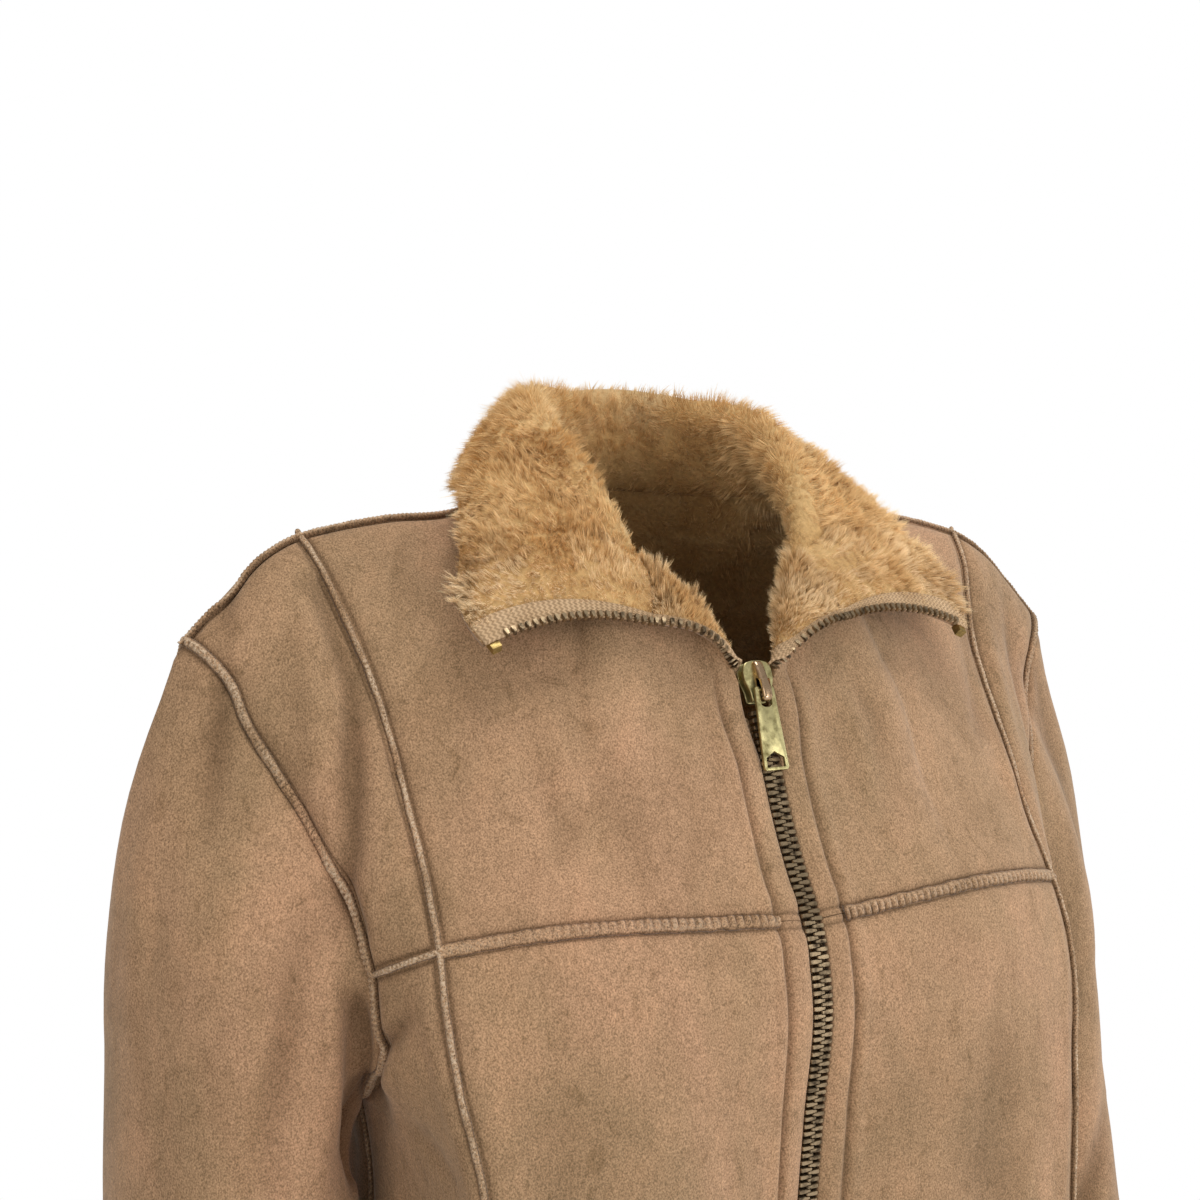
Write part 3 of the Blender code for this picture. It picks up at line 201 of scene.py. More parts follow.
def bow(t, start, middle, end):
    """The place at the share t of a bow from start to end that leans towards the middle point."""
    return start * (1 - t) ** 2 + 2 * middle * t * (1 - t) + end * t * t


def smooth_line(points, dense=24):
    """A dense smooth curve through the points."""
    p = np.array(points, float)
    step = np.maximum(np.linalg.norm(np.diff(p, axis=0), axis=1), TINY_STEP)
    slope = np.zeros_like(p)
    for k in range(1, len(p) - 1):
        before = (p[k] - p[k - 1]) / step[k - 1]
        after = (p[k + 1] - p[k]) / step[k]
        slope[k] = (before * step[k] + after * step[k - 1]) / (step[k] + step[k - 1])
    slope[0] = 2 * (p[1] - p[0]) / step[0] - slope[1]
    slope[-1] = 2 * (p[-1] - p[-2]) / step[-1] - slope[-2]
    out = [p[0]]
    for k in range(len(p) - 1):
        for t in np.linspace(0, 1, dense + 1)[1:]:
            out.append(between(t, step[k], p[k], p[k + 1], slope[k], slope[k + 1]))
    return np.array(out)


def spline(points, cells):
    """A smooth curve through the points, at equal steps along its length."""
    return resample(smooth_line(points), cells)


def spline_parts(points, parts, dense=24):
    """A smooth curve through the points; each part (last point, cells) has equal steps."""
    line = smooth_line(points, dense)
    out, start = [], 0
    for last, cells in parts:
        out.append(resample(line[start * dense:last * dense + 1], cells))
        start = last
    return join(*out)


def run_length(line):
    """How far along a line each of its points lies."""
    return np.concatenate([[0.0], np.cumsum(np.linalg.norm(np.diff(line, axis=0), axis=1))])


def read_line(line, run, want):
    """A line of points, or values along it, read at the wanted lengths."""
    return np.stack([np.interp(want, run, line[:, k]) for k in range(3)], axis=-1)


def resample(line, cells):
    """The same line with equal steps along it."""
    run = run_length(line)
    return read_line(line, run, np.linspace(0, run[-1], cells + 1))


def join(*lines):
    """Lines end to end, each starting where the last one stops."""
    return np.concatenate([lines[0]] + [line[1:] for line in lines[1:]])


def fit_to_edges(grid, bottom, top, left, right):
    """Move a grid so that its four sides lie on the seam curves, as a Coons patch does."""
    rows, columns = grid.shape[:2]
    v = np.linspace(0, 1, rows)[:, None, None]
    u = np.linspace(0, 1, columns)[None, :, None]
    low, high = (bottom - grid[0])[None], (top - grid[-1])[None]
    near, far = (left - grid[:, 0])[:, None], (right - grid[:, -1])[:, None]
    corners = ((1 - v) * ((1 - u) * low[:, :1] + u * low[:, -1:])
               + v * ((1 - u) * high[:, :1] + u * high[:, -1:]))
    return grid + (1 - v) * low + v * high + (1 - u) * near + u * far - corners


def coons(bottom, top, left, right):
    """A smooth grid between four seam curves."""
    return fit_to_edges(np.zeros((len(left), len(bottom), 3)), bottom, top, left, right)


def bulge(grid, height):
    """Raise the middle of a grid along its own normals."""
    rows, columns = grid.shape[:2]
    v = np.sin(np.linspace(0, math.pi, rows))[:, None, None]
    u = np.sin(np.linspace(0, math.pi, columns))[None, :, None]
    return grid + grid_normals(grid) * u * v * height


def units(vectors):
    """The same directions with a length of 1."""
    return vectors / np.maximum(np.linalg.norm(vectors, axis=-1, keepdims=True), 1e-12)


def cell_normals(grid):
    """For each cell of a grid, its normal with a length of twice the cell's area."""
    return np.cross(grid[1:, 1:] - grid[:-1, :-1], grid[1:, :-1] - grid[:-1, 1:])


def grid_normals(grid):
    """Unit normals of a grid: at each point, the mean over the cells that touch it."""
    cell = units(cell_normals(grid))
    total = np.zeros_like(grid)
    rows, columns = cell.shape[:2]
    for i in (0, 1):
        for j in (0, 1):
            total[i:i + rows, j:j + columns] += cell
    return units(total)


MIRRORED = np.array([-1.0, 1.0, 1.0])
SIDES = (("left", False), ("right", True))   # the wearer's; the right one is mirrored


def mirrored(grid):
    """The other half of the garment: x changes sign, and the columns run the other way."""
    return (grid * MIRRORED)[:, ::-1]


# ---------------------------------------------------------------- the seams, sampled
def level_line(column_x, column_y, last, cells):
    """A curve down the body through every level, ending at a given top point."""
    rows = [At(getattr(row, column_x) if column_x else 0.0, getattr(row, column_y), row.z)
            for row in LEVELS]
    return spline(rows + last, cells)


# Each seam that is one smooth curve, and its cells.
SEAM_CELLS = {
    "zip_up": (ZIP_LINE, CELLS_CHEST_UP),
    "lapel_edge": (LAPEL_EDGE, CELLS_LAPEL_EDGE),
    "collar_front": (COLLAR_FRONT, CELLS_COLLAR),
    "lapel_seam": (LAPEL_SEAM, CELLS_LAPEL_SEAM),
    "neck_front": (NECK_FRONT, CELLS_NECK_FRONT),
    "neck_back": (NECK_BACK, CELLS_NECK_BACK),
    "shoulder_in": (SHOULDER_IN, CELLS_SHOULDER_IN),
    "shoulder_out": (SHOULDER_OUT, CELLS_SHOULDER_OUT),
    "princess_up": (PRINCESS, CELLS_CHEST),
    "arm_front": (ARM_FRONT, CELLS_CHEST),
    "arm_low": (ARM_LOW, CELLS_ARM_LOW),
    "arm_back": (ARM_BACK, CELLS_ARM_BACK),
    "chest": ([At(ZIP_EDGE, *CHEST_CENTRE[1:])] + CHEST_SEAM[1:], CELLS_FRONT),
    "chest_side": (CHEST_SIDE, CELLS_SHOULDER_OUT),
    "back_up": (BACK_LINE, CELLS_ARM_BACK),
}


def sample_seams():
    """Every seam of the left half, as points one cell apart."""
    s = {name: spline(points, cells) for name, (points, cells) in SEAM_CELLS.items()}
    s["zip_up"][:, 0] = np.maximum(s["zip_up"][:, 0], ZIP_EDGE)
    s["zip_low"] = level_line(None, "centre_y", [BUST, CHEST_CENTRE], CELLS_BELOW)
    s["zip_low"][:, 0] = ZIP_EDGE
    s["princess_low"] = level_line("princess_x", "princess_y", [PRINCESS_BUST, PRINCESS[0]],
                                  CELLS_BELOW)
    s["side"] = level_line("side_x", "side_y", [UNDERARM], CELLS_SIDE)
    s["back_low"] = level_line(None, "back_y", [BACK_LINE[0]], CELLS_SIDE)
    return s


# ---------------------------------------------------------------- the cut pieces, as grids
PANEL_BULGE = 0.004        # how far the middle of a front panel swells
CORNER_POINTS = 40         # along the rounded corners of the body's sections


def grid_chest_centre(s):
    """Upper centre front, chest seam to shoulder, with the lapel turned out above the slider."""
    top = join(s["lapel_seam"], s["neck_front"], s["shoulder_in"])
    left = join(s["zip_up"], s["lapel_edge"])
    right = s["princess_up"]
    columns = (0,) + NET_COLUMNS + (CELLS_FRONT,)
    rows = [0] + [net.row for net in CHEST_NET] + [CELLS_CHEST]
    net = [[s["chest"][c] for c in columns]]
    for level in CHEST_NET:
        net.append([left[level.row], level.roll, level.neck, level.mid, right[level.row]])
    net.append([top[c] for c in columns])
    across = np.array([smooth_at(np.array(line), columns, CELLS_FRONT) for line in net])
    grid = np.stack([smooth_at(across[:, c], rows, CELLS_CHEST) for c in range(CELLS_FRONT + 1)], axis=1)
    return fit_to_edges(grid, s["chest"], top, left, right)


def smooth_at(points, places, cells):
    """A smooth curve through points at the given whole places, read at every cell."""
    places = np.array(places, float)
    slope = np.gradient(points, places, axis=0)
    out = []
    for place in range(cells + 1):
        k = min(np.searchsorted(places, place, side="right") - 1, len(places) - 2)
        width = places[k + 1] - places[k]
        t = (place - places[k]) / width
        out.append(between(t, width, points[k], points[k + 1], slope[k], slope[k + 1]))
    return np.array(out)


def grid_chest_side(s):
    """Upper side front, princess seam to armhole."""
    grid = coons(s["chest_side"], s["shoulder_out"], s["princess_up"], s["arm_front"])
    return bulge(grid, PANEL_BULGE)


def grid_lower_centre(s):
    """Lower centre front, hem to chest seam."""
    hem = spline([At(*s["zip_low"][0]), At(0.080, LEVELS[0].centre_y - 0.005, -BODY_LENGTH),
                  At(*s["princess_low"][0])], CELLS_FRONT)
    return bulge(coons(hem, s["chest"], s["zip_low"], s["princess_low"]), PANEL_BULGE)


def quarter(start, end, power, cells):
    """A rounded corner from start to end: off along x, and in along y."""
    turn = np.linspace(0, math.pi / 2, CORNER_POINTS)
    u = np.sin(turn) ** (2 / power)
    w = 1 - np.cos(turn) ** (2 / power)
    line = np.stack([start[0] + (end[0] - start[0]) * u, start[1] + (end[1] - start[1]) * w,
                     start[2] + (end[2] - start[2]) * (u + w) / 2], axis=1)
    return resample(line, cells)


def grid_lower_side(s):
    """Lower side front, princess seam to side seam and armhole."""
    right = join(s["side"], s["arm_low"])
    rows = [quarter(a, b, 2.4, CELLS_SHOULDER_OUT) for a, b in zip(s["princess_low"], right)]
    hem = rows[0]
    return fit_to_edges(np.array(rows), hem, s["chest_side"], s["princess_low"], right)


def grid_back_half(s):
    """Left half of the back, centre back to side seam and armhole."""
    left = join(s["back_low"], s["back_up"])
    right = join(s["side"], s["arm_back"])
    top = join(s["neck_back"][::-1], s["shoulder_in"], s["shoulder_out"])
    cells = len(top) - 1
    grid = np.array([corner_back(centre, edge, cells) for centre, edge in zip(left, right)])
    rise = np.clip((np.arange(len(left)) - CELLS_SIDE) / CELLS_ARM_BACK, 0, 1)
    turn = (1 - np.sqrt(1 - rise ** 2))[:, None, None]
    exact = (rise ** 8)[:, None, None]
    gap = top - grid[-1]
    grid = grid + turn * (exact * gap[None] + (1 - exact) * spread(gap)[None])
    return fit_to_edges(grid, grid[0], top, left, right)


def spread(line, rounds=12 * ACROSS ** 2):
    """A line with its bends spread out along it, and its ends kept."""
    for _ in range(rounds):
        line = np.concatenate([line[:1], (line[:-2] + 2 * line[1:-1] + line[2:]) / 4, line[-1:]])
    return line


def corner_back(centre, edge, cells, power=2.5):
    """One section of the back: flat across the middle and rounded at the side."""
    turn = np.linspace(0, math.pi / 2, CORNER_POINTS)
    u = np.sin(turn) ** (2 / power)
    w = np.cos(turn) ** (2 / power)
    line = np.stack([edge[0] * u, edge[1] + (centre[1] - edge[1]) * w,
                     centre[2] + (edge[2] - centre[2]) * u ** 2], axis=1)
    return resample(line, cells)


def grid_collar_half(s):
    """Left half of the collar, front edge to centre back: seam, roll and fall."""
    seam = join(s["lapel_seam"], s["neck_front"], s["neck_back"])
    stations = len(seam) - 1
    edge = spline_parts(COLLAR_EDGE, ((EDGE_AT_CROSS, CELLS_LAPEL_SEAM),
                                      (EDGE_AT_SHOULDER, CELLS_NECK_FRONT),
                                      (len(COLLAR_EDGE) - 1, CELLS_NECK_BACK)))
    roll = spline_parts(ROLL, ((ROLL_AT_SHOULDER, CELLS_NECK_FRONT), (len(ROLL) - 1, CELLS_NECK_BACK)))
    rows = []
    for k in range(stations + 1):
        if k <= CELLS_LAPEL_SEAM:
            middle = (seam[k] + edge[k]) / 2
            lift = 0.003 * k / CELLS_LAPEL_SEAM
            line = spline([At(*seam[k]), At(middle[0], middle[1] - lift, middle[2] + lift),
                           At(*edge[k])], CELLS_COLLAR)
        else:
            line = collar_section(seam[k], roll[k - CELLS_LAPEL_SEAM], edge[k])
        rows.append(line)
    grid = np.stack(rows, axis=1)
    return fit_to_edges(grid, seam, edge, s["collar_front"], grid[:, -1])


def collar_section(seam, roll, edge):
    """One section across the collar: up the stand, over the roll and down the fall."""
    out = edge - roll
    out[2] = 0.0
    out = out / np.linalg.norm(out)
    stand = roll - seam
    radius = ROLL_RADIUS * min(1.0, np.linalg.norm(stand) / 0.020)
    inner = seam + stand * 0.65 - out * radius
    outer = roll + out * radius - np.array([0, 0, radius * 0.7])
    middle = (outer * 0.45 + edge * 0.55) + np.array([0, 0, 0.004])
    return spline([At(*seam), At(*inner), At(*roll), At(*outer), At(*middle), At(*edge)], CELLS_COLLAR)


def sleeve_turns():
    """How far round the sleeve each of its columns lies, from its outside by its front."""
    chest_turn = UNDERARM_TURN * 12 / 15
    return np.concatenate([np.linspace(0, chest_turn, CELLS_CHEST + 1),
                           np.linspace(chest_turn, UNDERARM_TURN, CELLS_ARM_LOW + 1)[1:],
                           np.linspace(UNDERARM_TURN, 2 * math.pi, CELLS_ARM_BACK + 1)[1:]])


def grid_sleeve(s):
    """Left sleeve: one tube from the armhole to the cuff."""
    front = join(s["arm_front"][::-1], s["arm_low"][::-1])
    loop = join(front, s["arm_back"])
    turns = sleeve_turns()
    centres = spline([At(r.x, r.y, r.z) for r in SLEEVE], CELLS_SLEEVE_ARM)
    down = [-ring.z for ring in SLEEVE]
    across = np.interp(-centres[:, 2], down, [ring.across for ring in SLEEVE])
    deep = np.interp(-centres[:, 2], down, [ring.deep for ring in SLEEVE])
    rings = [np.stack([c[0] + a * np.cos(turns), c[1] - d * np.sin(turns),
                       np.full(len(turns), c[2])], axis=1)
             for c, a, d in zip(centres, across, deep)]
    rows = []
    for k in range(CELLS_SLEEVE_CAP):
        t = k / CELLS_SLEEVE_CAP
        ease = 1 - (1 - t) ** 2.2
        mix = np.array([ease, ease, t])
        facing = np.maximum(0, np.cos(turns - CAP_PUFF_TURN))
        puff = CAP_PUFF * math.sin(math.pi * min(1.0, 1.4 * t)) * facing
        lift = np.stack([np.cos(turns), -np.sin(turns), np.zeros(len(turns))], axis=1)
        rows.append(loop * (1 - mix) + rings[0] * mix + lift * puff[:, None])
    return np.array(rows + rings)[::-1]


# ---------------------------------------------------------------- walls
def vertex_key(point):
    """The same key for points that meet."""
    return tuple(np.round(np.asarray(point) * 1e5).astype(int))


def rim_neighbours(i, j, rows, columns, closed):
    """The points before and after this one along the rim, counter-clockwise."""
    top, side = rows - 1, columns - 1
    if closed:
        step = 1 if i == 0 else -1
        return (i, (j - step) % side), (i, (j + step) % side)
    loop = ([(0, k) for k in range(side)] + [(k, side) for k in range(top)]
            + [(top, k) for k in range(side, 0, -1)] + [(k, 0) for k in range(top, 0, -1)])
    k = loop.index((i, j))
    return loop[k - 1], loop[(k + 1) % len(loop)]


def filled_angle(grid, i, j, closed):
    """The angle that a piece fills at a point of its rim."""
    before, after = rim_neighbours(i, j, *grid.shape[:2], closed)
    a, b = units(grid[before] - grid[i, j]), units(grid[after] - grid[i, j])
    return math.acos(max(-1.0, min(1.0, float(a @ b))))


def shared_normal(shared):
    """The mean normal where pieces meet, and how far a wall's edge stretches along it.

    A sleeve weighs as much as all the body pieces on the other side of its seam.
    """
    body = [normal * angle for normal, angle, closed in shared if not closed]
    tube = [normal for normal, _, closed in shared if closed]
    mean = np.zeros(3)
    if body:
        mean = mean + units(np.sum(body, axis=0))
    if tube:
        mean = mean + tube[0]
    mean = units(mean)
    lean = np.mean([normal @ mean for normal, _, _ in shared])
    return mean, min(MITRE_LIMIT, 1 / max(lean, 0.2))


def piece_normals(grid, closed):
    """Unit normals of a piece; a closed one's first and last columns are the same line."""
    if not closed:
        return grid_normals(grid)
    wrapped = np.concatenate([grid[:, -2:-1], grid, grid[:, 1:2]], axis=1)
    return grid_normals(wrapped)[:, 1:-1]


def edge_shift(grid, i, j, closed, mean, normal):
    """Half the seam gap, away from the rim on both sides of this point."""
    before, after = rim_neighbours(i, j, *grid.shape[:2], closed)
    inward = []
    for start, end in ((before, (i, j)), ((i, j), after)):
        along = units(grid[end] - grid[start])
        turned = np.cross(mean, along)
        if np.linalg.norm(turned) < 0.35:
            turned = np.cross(normal, along)
        inward.append(units(turned))
    first, second = inward
    return (first + second) * SEAM_GAP / 2 / max(1 + first @ second, 0.5)


def rim_points(rows, columns, closed):
    """Every grid place on the rim."""
    places = [(i, j) for i in (0, rows - 1) for j in range(columns)]
    if not closed:
        places += [(i, j) for i in range(1, rows - 1) for j in (0, columns - 1)]
    return places


def collect_seam_normals(grids):
    """The normals of the pieces that meet at each rim point, with the angle each one fills."""
    meeting = {}
    for grid, closed in grids:
        normals = piece_normals(grid, closed)
        columns = grid.shape[1] - (1 if closed else 0)
        for i, j in rim_points(grid.shape[0], columns, closed):
            entry = (normals[i, j], filled_angle(grid, i, j, closed), closed)
            meeting.setdefault(vertex_key(grid[i, j]), []).append(entry)
    return meeting


def wall(grid, closed, meeting, thickness):
    """A wall on a grid, clear of its neighbours: outer face, inner face, and normals."""
    normals = piece_normals(grid, closed)
    mean = normals.copy()
    shift = np.zeros_like(grid)
    stretch = np.ones(grid.shape[:2])
    for i, j in rim_points(*grid.shape[:2], closed):
        shared = meeting[vertex_key(grid[i, j])]
        mean[i, j], stretch[i, j] = shared_normal(shared)
        if len(shared) > 1:
            shift[i, j] = edge_shift(grid, i, j, closed, mean[i, j], normals[i, j])
    slider_side = (np.abs(grid[..., 0]) < SLIDER_ROOM + SEAM_GAP) & (mean[..., 1] < -0.3)
    mean[slider_side] = units(mean[slider_side] * np.array([0, 1, 1]))
    outer = grid + shift
    return outer, outer - mean * (thickness * stretch)[..., None], mean


def finer(table, rows, columns):
    """A coarse table of numbers, read at the points of a fine grid."""
    table = np.array(table, float)
    across = np.linspace(0, table.shape[1] - 1, columns)
    up = np.linspace(0, table.shape[0] - 1, rows)
    wide = np.array([np.interp(across, np.arange(table.shape[1]), row) for row in table])
    return np.array([np.interp(up, np.arange(table.shape[0]), column) for column in wide.T]).T


# How far the pile stands up, as a share: across the lapel from its edge, and up its height.
LAPEL_PILE_ACROSS = (0.0, 0.7, 0.8, 0.1)
LAPEL_STRANDS_ACROSS = (0.3, 0.75, 0.9, 0.85, 0.6, 0.2)
LAPEL_PILE_UP = (0.3, 0.55, 0.8, 0.95, 1.0)
COLLAR_PLACES = 25         # the solid collar's points from one zip edge to the other


def lapel_pile(grid):
    """Share of the standing pile behind the upper centre front: only on the turned-out lapel."""
    coarse = np.zeros((CELLS_CHEST // UP + 1, CELLS_FRONT // ACROSS + 1))
    for up, share_up in enumerate(LAPEL_PILE_UP):
        coarse[CELLS_CHEST_UP // UP + up, :6] = np.array(LAPEL_STRANDS_ACROSS) * share_up
    return finer(coarse, *grid.shape[:2])


def collar_pile(grid):
    """Share of the standing pile over the collar, pressed flat in its seam and zip edges."""
    from_zip = np.minimum(np.arange(COLLAR_PLACES), np.arange(COLLAR_PLACES)[::-1])
    coarse = np.ones((10, COLLAR_PLACES))
    coarse[:2] = [[0.0], [0.6]]
    coarse[-1] = 0.75
    coarse *= np.interp(from_zip, [0, 1, 2], [0, 0.7, 1])
    coarse[0] = np.interp(from_zip, [0, 1, 2, 3], LAPEL_PILE_ACROSS)
    return finer(coarse, *grid.shape[:2])


# ---------------------------------------------------------------- relief of the worn cloth
# A fold is a soft ridge, or a trough where its height is below zero, along a line.  One row for
# each: its width and height in tenths of a millimetre, and its points in millimetres.
Fold = namedtuple("Fold", "points width height")
FOLD_ROWS = [
    # Wearer's right: chest side panel, from the shoulder down.
    (58, -54, (-167, -17, -56), (-166, -21, -66), (-163, -29, -87), (-161, -35, -103),
     (-163, -39, -115), (-168, -46, -136), (-172, -49, -162), (-172, -48, -182), (-168, -56, -196)),
    (70, 28, (-178, -18, -66), (-176, -31, -100), (-178, -40, -135), (-177, -47, -172)),
    (40, -22, (-194, -7, -55), (-202, -11, -74), (-203, -17, -88)),
    (34, -38, (-156, -36, -249), (-159, -45, -239), (-161, -55, -232), (-160, -63, -226),
     (-157, -72, -221)),
    (70, 26, (-158, -36, -256), (-157, -56, -244), (-153, -74, -238)),
    (70, -22, (-155, -36, -268), (-150, -62, -272), (-146, -80, -286)),
    # Wearer's right: chest, under the lapel and beside the placket.
    (42, -20, (-44, -65, -92), (-30, -69, -104), (-24, -74, -118), (-25, -80, -134), (-29, -88, -158)),
    (60, 16, (-56, -65, -94), (-42, -70, -110), (-36, -78, -130)),
    (80, -20, (-112, -44, -88), (-94, -53, -96), (-68, -62, -93)),
    (100, 18, (-118, -48, -108), (-114, -62, -136), (-113, -76, -168)),
    (65, -18, (-106, -56, -104), (-101, -65, -127), (-98, -73, -149), (-100, -82, -175)),
    (90, -12, (-74, -68, -118), (-70, -81, -150), (-73, -93, -182)),
    # Wearer's left: chest.
    (70, 24, (168, -24, -74), (160, -40, -108), (150, -56, -142), (136, -72, -172)),
    (70, -22, (152, -28, -78), (140, -44, -108), (128, -60, -140)),
    (42, -18, (18, -71, -107), (27, -75, -121), (35, -80, -137), (34, -87, -156)),
    (50, 18, (26, -70, -100), (40, -73, -114), (47, -80, -135), (46, -88, -160)),
    (45, -14, (40, -69, -98), (54, -72, -114), (60, -80, -136)),
    (80, -14, (104, -48, -92), (82, -58, -97), (58, -65, -92)),
    (60, -32, (186, -14, -66), (182, -28, -104), (176, -41, -146), (170, -50, -184)),
    (45, -32, (165, -46, -228), (158, -64, -222), (150, -80, -218)),
    (70, 22, (156, -40, -262), (152, -62, -254), (146, -80, -262)),
    # Fronts of the sleeves, below their heads.
    (50, -38, (-203, -16, -86), (-206, -16, -100), (-208, -17, -112), (-210, -17, -125),
     (-213, -19, -141), (-216, -22, -160)),
    # The right sleeve hangs in a straight fold before the underarm.
    (36, -55, (-170, -45, -212), (-165, -41, -230), (-161, -34, -246), (-159, -26, -257)),
    (80, -85, (-163, -34, -248), (-159, -24, -262), (-161, -17, -278), (-163, -12, -294)),
    (60, 30, (-179, -46, -196), (-178, -44, -220), (-176, -39, -245), (-173, -32, -270)),
    (160, 58, (-166, -20, -276), (-161, -12, -300), (-158, -4, -340), (-158, 0, -390),
     (-161, 0, -440)),
    (220, 42, (-146, 18, -290), (-142, 38, -320), (-141, 48, -370), (-144, 50, -450)),
    (80, -70, (171, -46, -202), (166, -41, -228), (162, -32, -248), (160, -20, -266)),
    (70, -18, (-190, -43, -215), (-198, -42, -236), (-205, -39, -257), (-208, -38, -284)),
    (75, -18, (-227, -8, -146), (-232, -11, -177), (-236, -8, -206), (-238, -2, -240)),
    (55, -28, (205, -18, -102), (210, -18, -124), (211, -25, -156)),
    (70, -18, (196, -42, -226), (204, -40, -256), (206, -38, -290)),
    # Lower fronts, from the bust to the hem.
    (160, -24, (-118, -98, -240), (-116, -101, -300), (-106, -93, -400), (-110, -99, -520)),
    (180, 20, (-78, -108, -250), (-72, -103, -320), (-76, -93, -430)),
    (170, -24, (94, -104, -240), (88, -102, -310), (92, -93, -420), (104, -98, -560)),
    (180, 18, (52, -108, -280), (46, -97, -380), (52, -97, -500)),
    (70, -16, (-140, -86, -400), (-110, -92, -410), (-70, -91, -398)),
    (70, -14, (140, -86, -432), (106, -92, -420), (78, -92, -428)),
    (80, -20, (-150, -20, -330), (-146, -60, -348), (-134, -86, -372)),
    (80, -20, (150, -24, -342), (145, -62, -362), (132, -87, -384)),
    # Back: shoulder blades, underarms, waist and hem.
    (90, -28, (-172, 58, -190), (-140, 88, -170), (-100, 107, -146)),
    (100, 22, (-168, 64, -220), (-130, 96, -206), (-90, 111, -196)),
    (90, -26, (170, 60, -198), (136, 92, -180), (104, 108, -162)),
    (110, 20, (164, 62, -232), (124, 98, -224), (80, 111, -214)),
    (150, -16, (20, 104, -100), (14, 113, -160), (22, 113, -240)),
    (160, -28, (-62, 108, -250), (-50, 104, -330), (-54, 98, -430), (-66, 108, -560)),
    (160, -26, (58, 108, -270), (52, 102, -360), (62, 101, -480), (70, 108, -590)),
    (200, 24, (10, 107, -300), (4, 98, -400), (8, 106, -520)),
    (75, -20, (-136, 64, -400), (-96, 89, -408), (-50, 97, -398)),
    (75, -18, (134, 66, -420), (90, 90, -416), (44, 98, -424)),
    (80, 14, (-120, 78, -438), (-80, 92, -444), (-30, 98, -436)),
]
FOLDS = [Fold(millimetres(points), width / 10000, height / 10000)
         for width, height, *points in FOLD_ROWS]

# Folds of the sleeves, by the sign of x.  Each starts at a turn (degrees round the sleeve from its
# outside by its front) and a height (millimetres), ends at another turn and height, and has a
# width and height of its own in tenths of a millimetre.
SLEEVE_CREASES = {
    -1: [(50, -120, 58, -230, 85, 18), (70, -130, 70, -280, 100, 22), (14, -110, 24, -250, 120, 20),
        (84, -170, 92, -330, 90, -18), (32, -210, 44, -420, 120, -18),
        (108, -200, 112, -350, 100, 20), (52, -300, 120, -372, 80, -34),
        (70, -368, 128, -414, 85, -30), (40, -400, 110, -398, 90, 24),
        (60, -450, 118, -486, 80, -22), (300, -150, 290, -340, 140, -26),
        (250, -220, 236, -400, 130, 22), (210, -300, 180, -370, 90, -26),
        (20, -520, 60, -600, 100, -20), (160, -420, 200, -560, 120, 18),
        (330, -420, 320, -600, 140, -18)],
    1: [(42, -98, 52, -210, 85, -30), (66, -120, 74, -300, 115, 22), (18, -130, 26, -280, 120, 18),
        (92, -180, 98, -320, 90, -18), (58, -310, 124, -384, 80, -34),
        (66, -376, 132, -428, 85, -28), (36, -410, 104, -404, 90, 24),
        (64, -462, 112, -492, 80, -20), (296, -160, 284, -330, 140, -26),
        (246, -230, 230, -410, 130, 22), (214, -310, 176, -380, 90, -26),
        (24, -530, 66, -604, 100, -20), (166, -430, 204, -570, 120, 18),
        (334, -440, 322, -590, 140, -18)],
}


def sleeve_fold(sign, crease, sleeve, steps=7):
    """A sleeve's fold as a line of points on the sleeve."""
    start_turn, top, end_turn, low, width, height = crease
    top, low = top / 1000, low / 1000
    columns = np.arange(sleeve.shape[1])
    points = []
    for t in np.linspace(0, 1, steps):
        turn = math.radians(start_turn + (end_turn - start_turn) * t)
        k = int(round(np.interp(turn, sleeve_turns(), columns)))
        z = top + (low - top) * t
        x, y = (np.interp(z, sleeve[:, k, 2], sleeve[:, k, axis]) for axis in (0, 1))
        points.append(At(sign * x, y, z))
    return Fold(points, width / 10000, height / 10000)


WAVES = 9                  # long low waves that keep the cloth from lying dead flat
WAVE_HEIGHT = 0.0007
CALM = (0.012, 0.045)      # from the zip: the relief starts at one distance and is whole at the other


def wave_set(count, shortest, longest, seed):
    """Plane waves in all directions: (wave vectors, phases)."""
    chance = np.random.default_rng(seed)
    along = units(chance.normal(size=(count, 3)))
    length = chance.uniform(shortest, longest, count)
    return along * (2 * math.pi / length)[:, None], chance.uniform(0, 2 * math.pi, count)


def waves(points, wave, height):
    """The sum of a set of plane waves at some points."""
    vectors, phases = wave
    return np.sin(points @ vectors.T + phases).sum(axis=-1) * height / math.sqrt(len(phases))


def near_line(points, line):
    """Distance from points to a line, and how far along it the nearest place lies, 0 to 1."""
    line = np.array(line, float)
    best = np.full(len(points), 1e9)
    place = np.zeros(len(points))
    for k in range(len(line) - 1):
        run = line[k + 1] - line[k]
        t = np.clip((points - line[k]) @ run / (run @ run), 0, 1)
        away = np.linalg.norm(points - line[k] - t[:, None] * run, axis=1)
        closer = away < best
        best[closer] = away[closer]
        place[closer] = ((k + t) / (len(line) - 1))[closer]
    return best, place


def bell(away, width):
    """A bell curve: 1 at no distance, and nearly 0 beyond twice the width."""
    return np.exp(-(away / width) ** 2)


def step_up(value, low, high):
    """0 up to low, 1 from high on, and smooth between them."""
    t = np.clip((value - low) / (high - low), 0, 1)
    return t * t * (3 - 2 * t)


LONG_WAVES = wave_set(WAVES, 0.055, 0.160, seed=4)
PLAIN_SLEEVE = grid_sleeve(sample_seams())
ALL_FOLDS = FOLDS + [sleeve_fold(sign, crease, PLAIN_SLEEVE)
                     for sign, creases in SLEEVE_CREASES.items() for crease in creases]


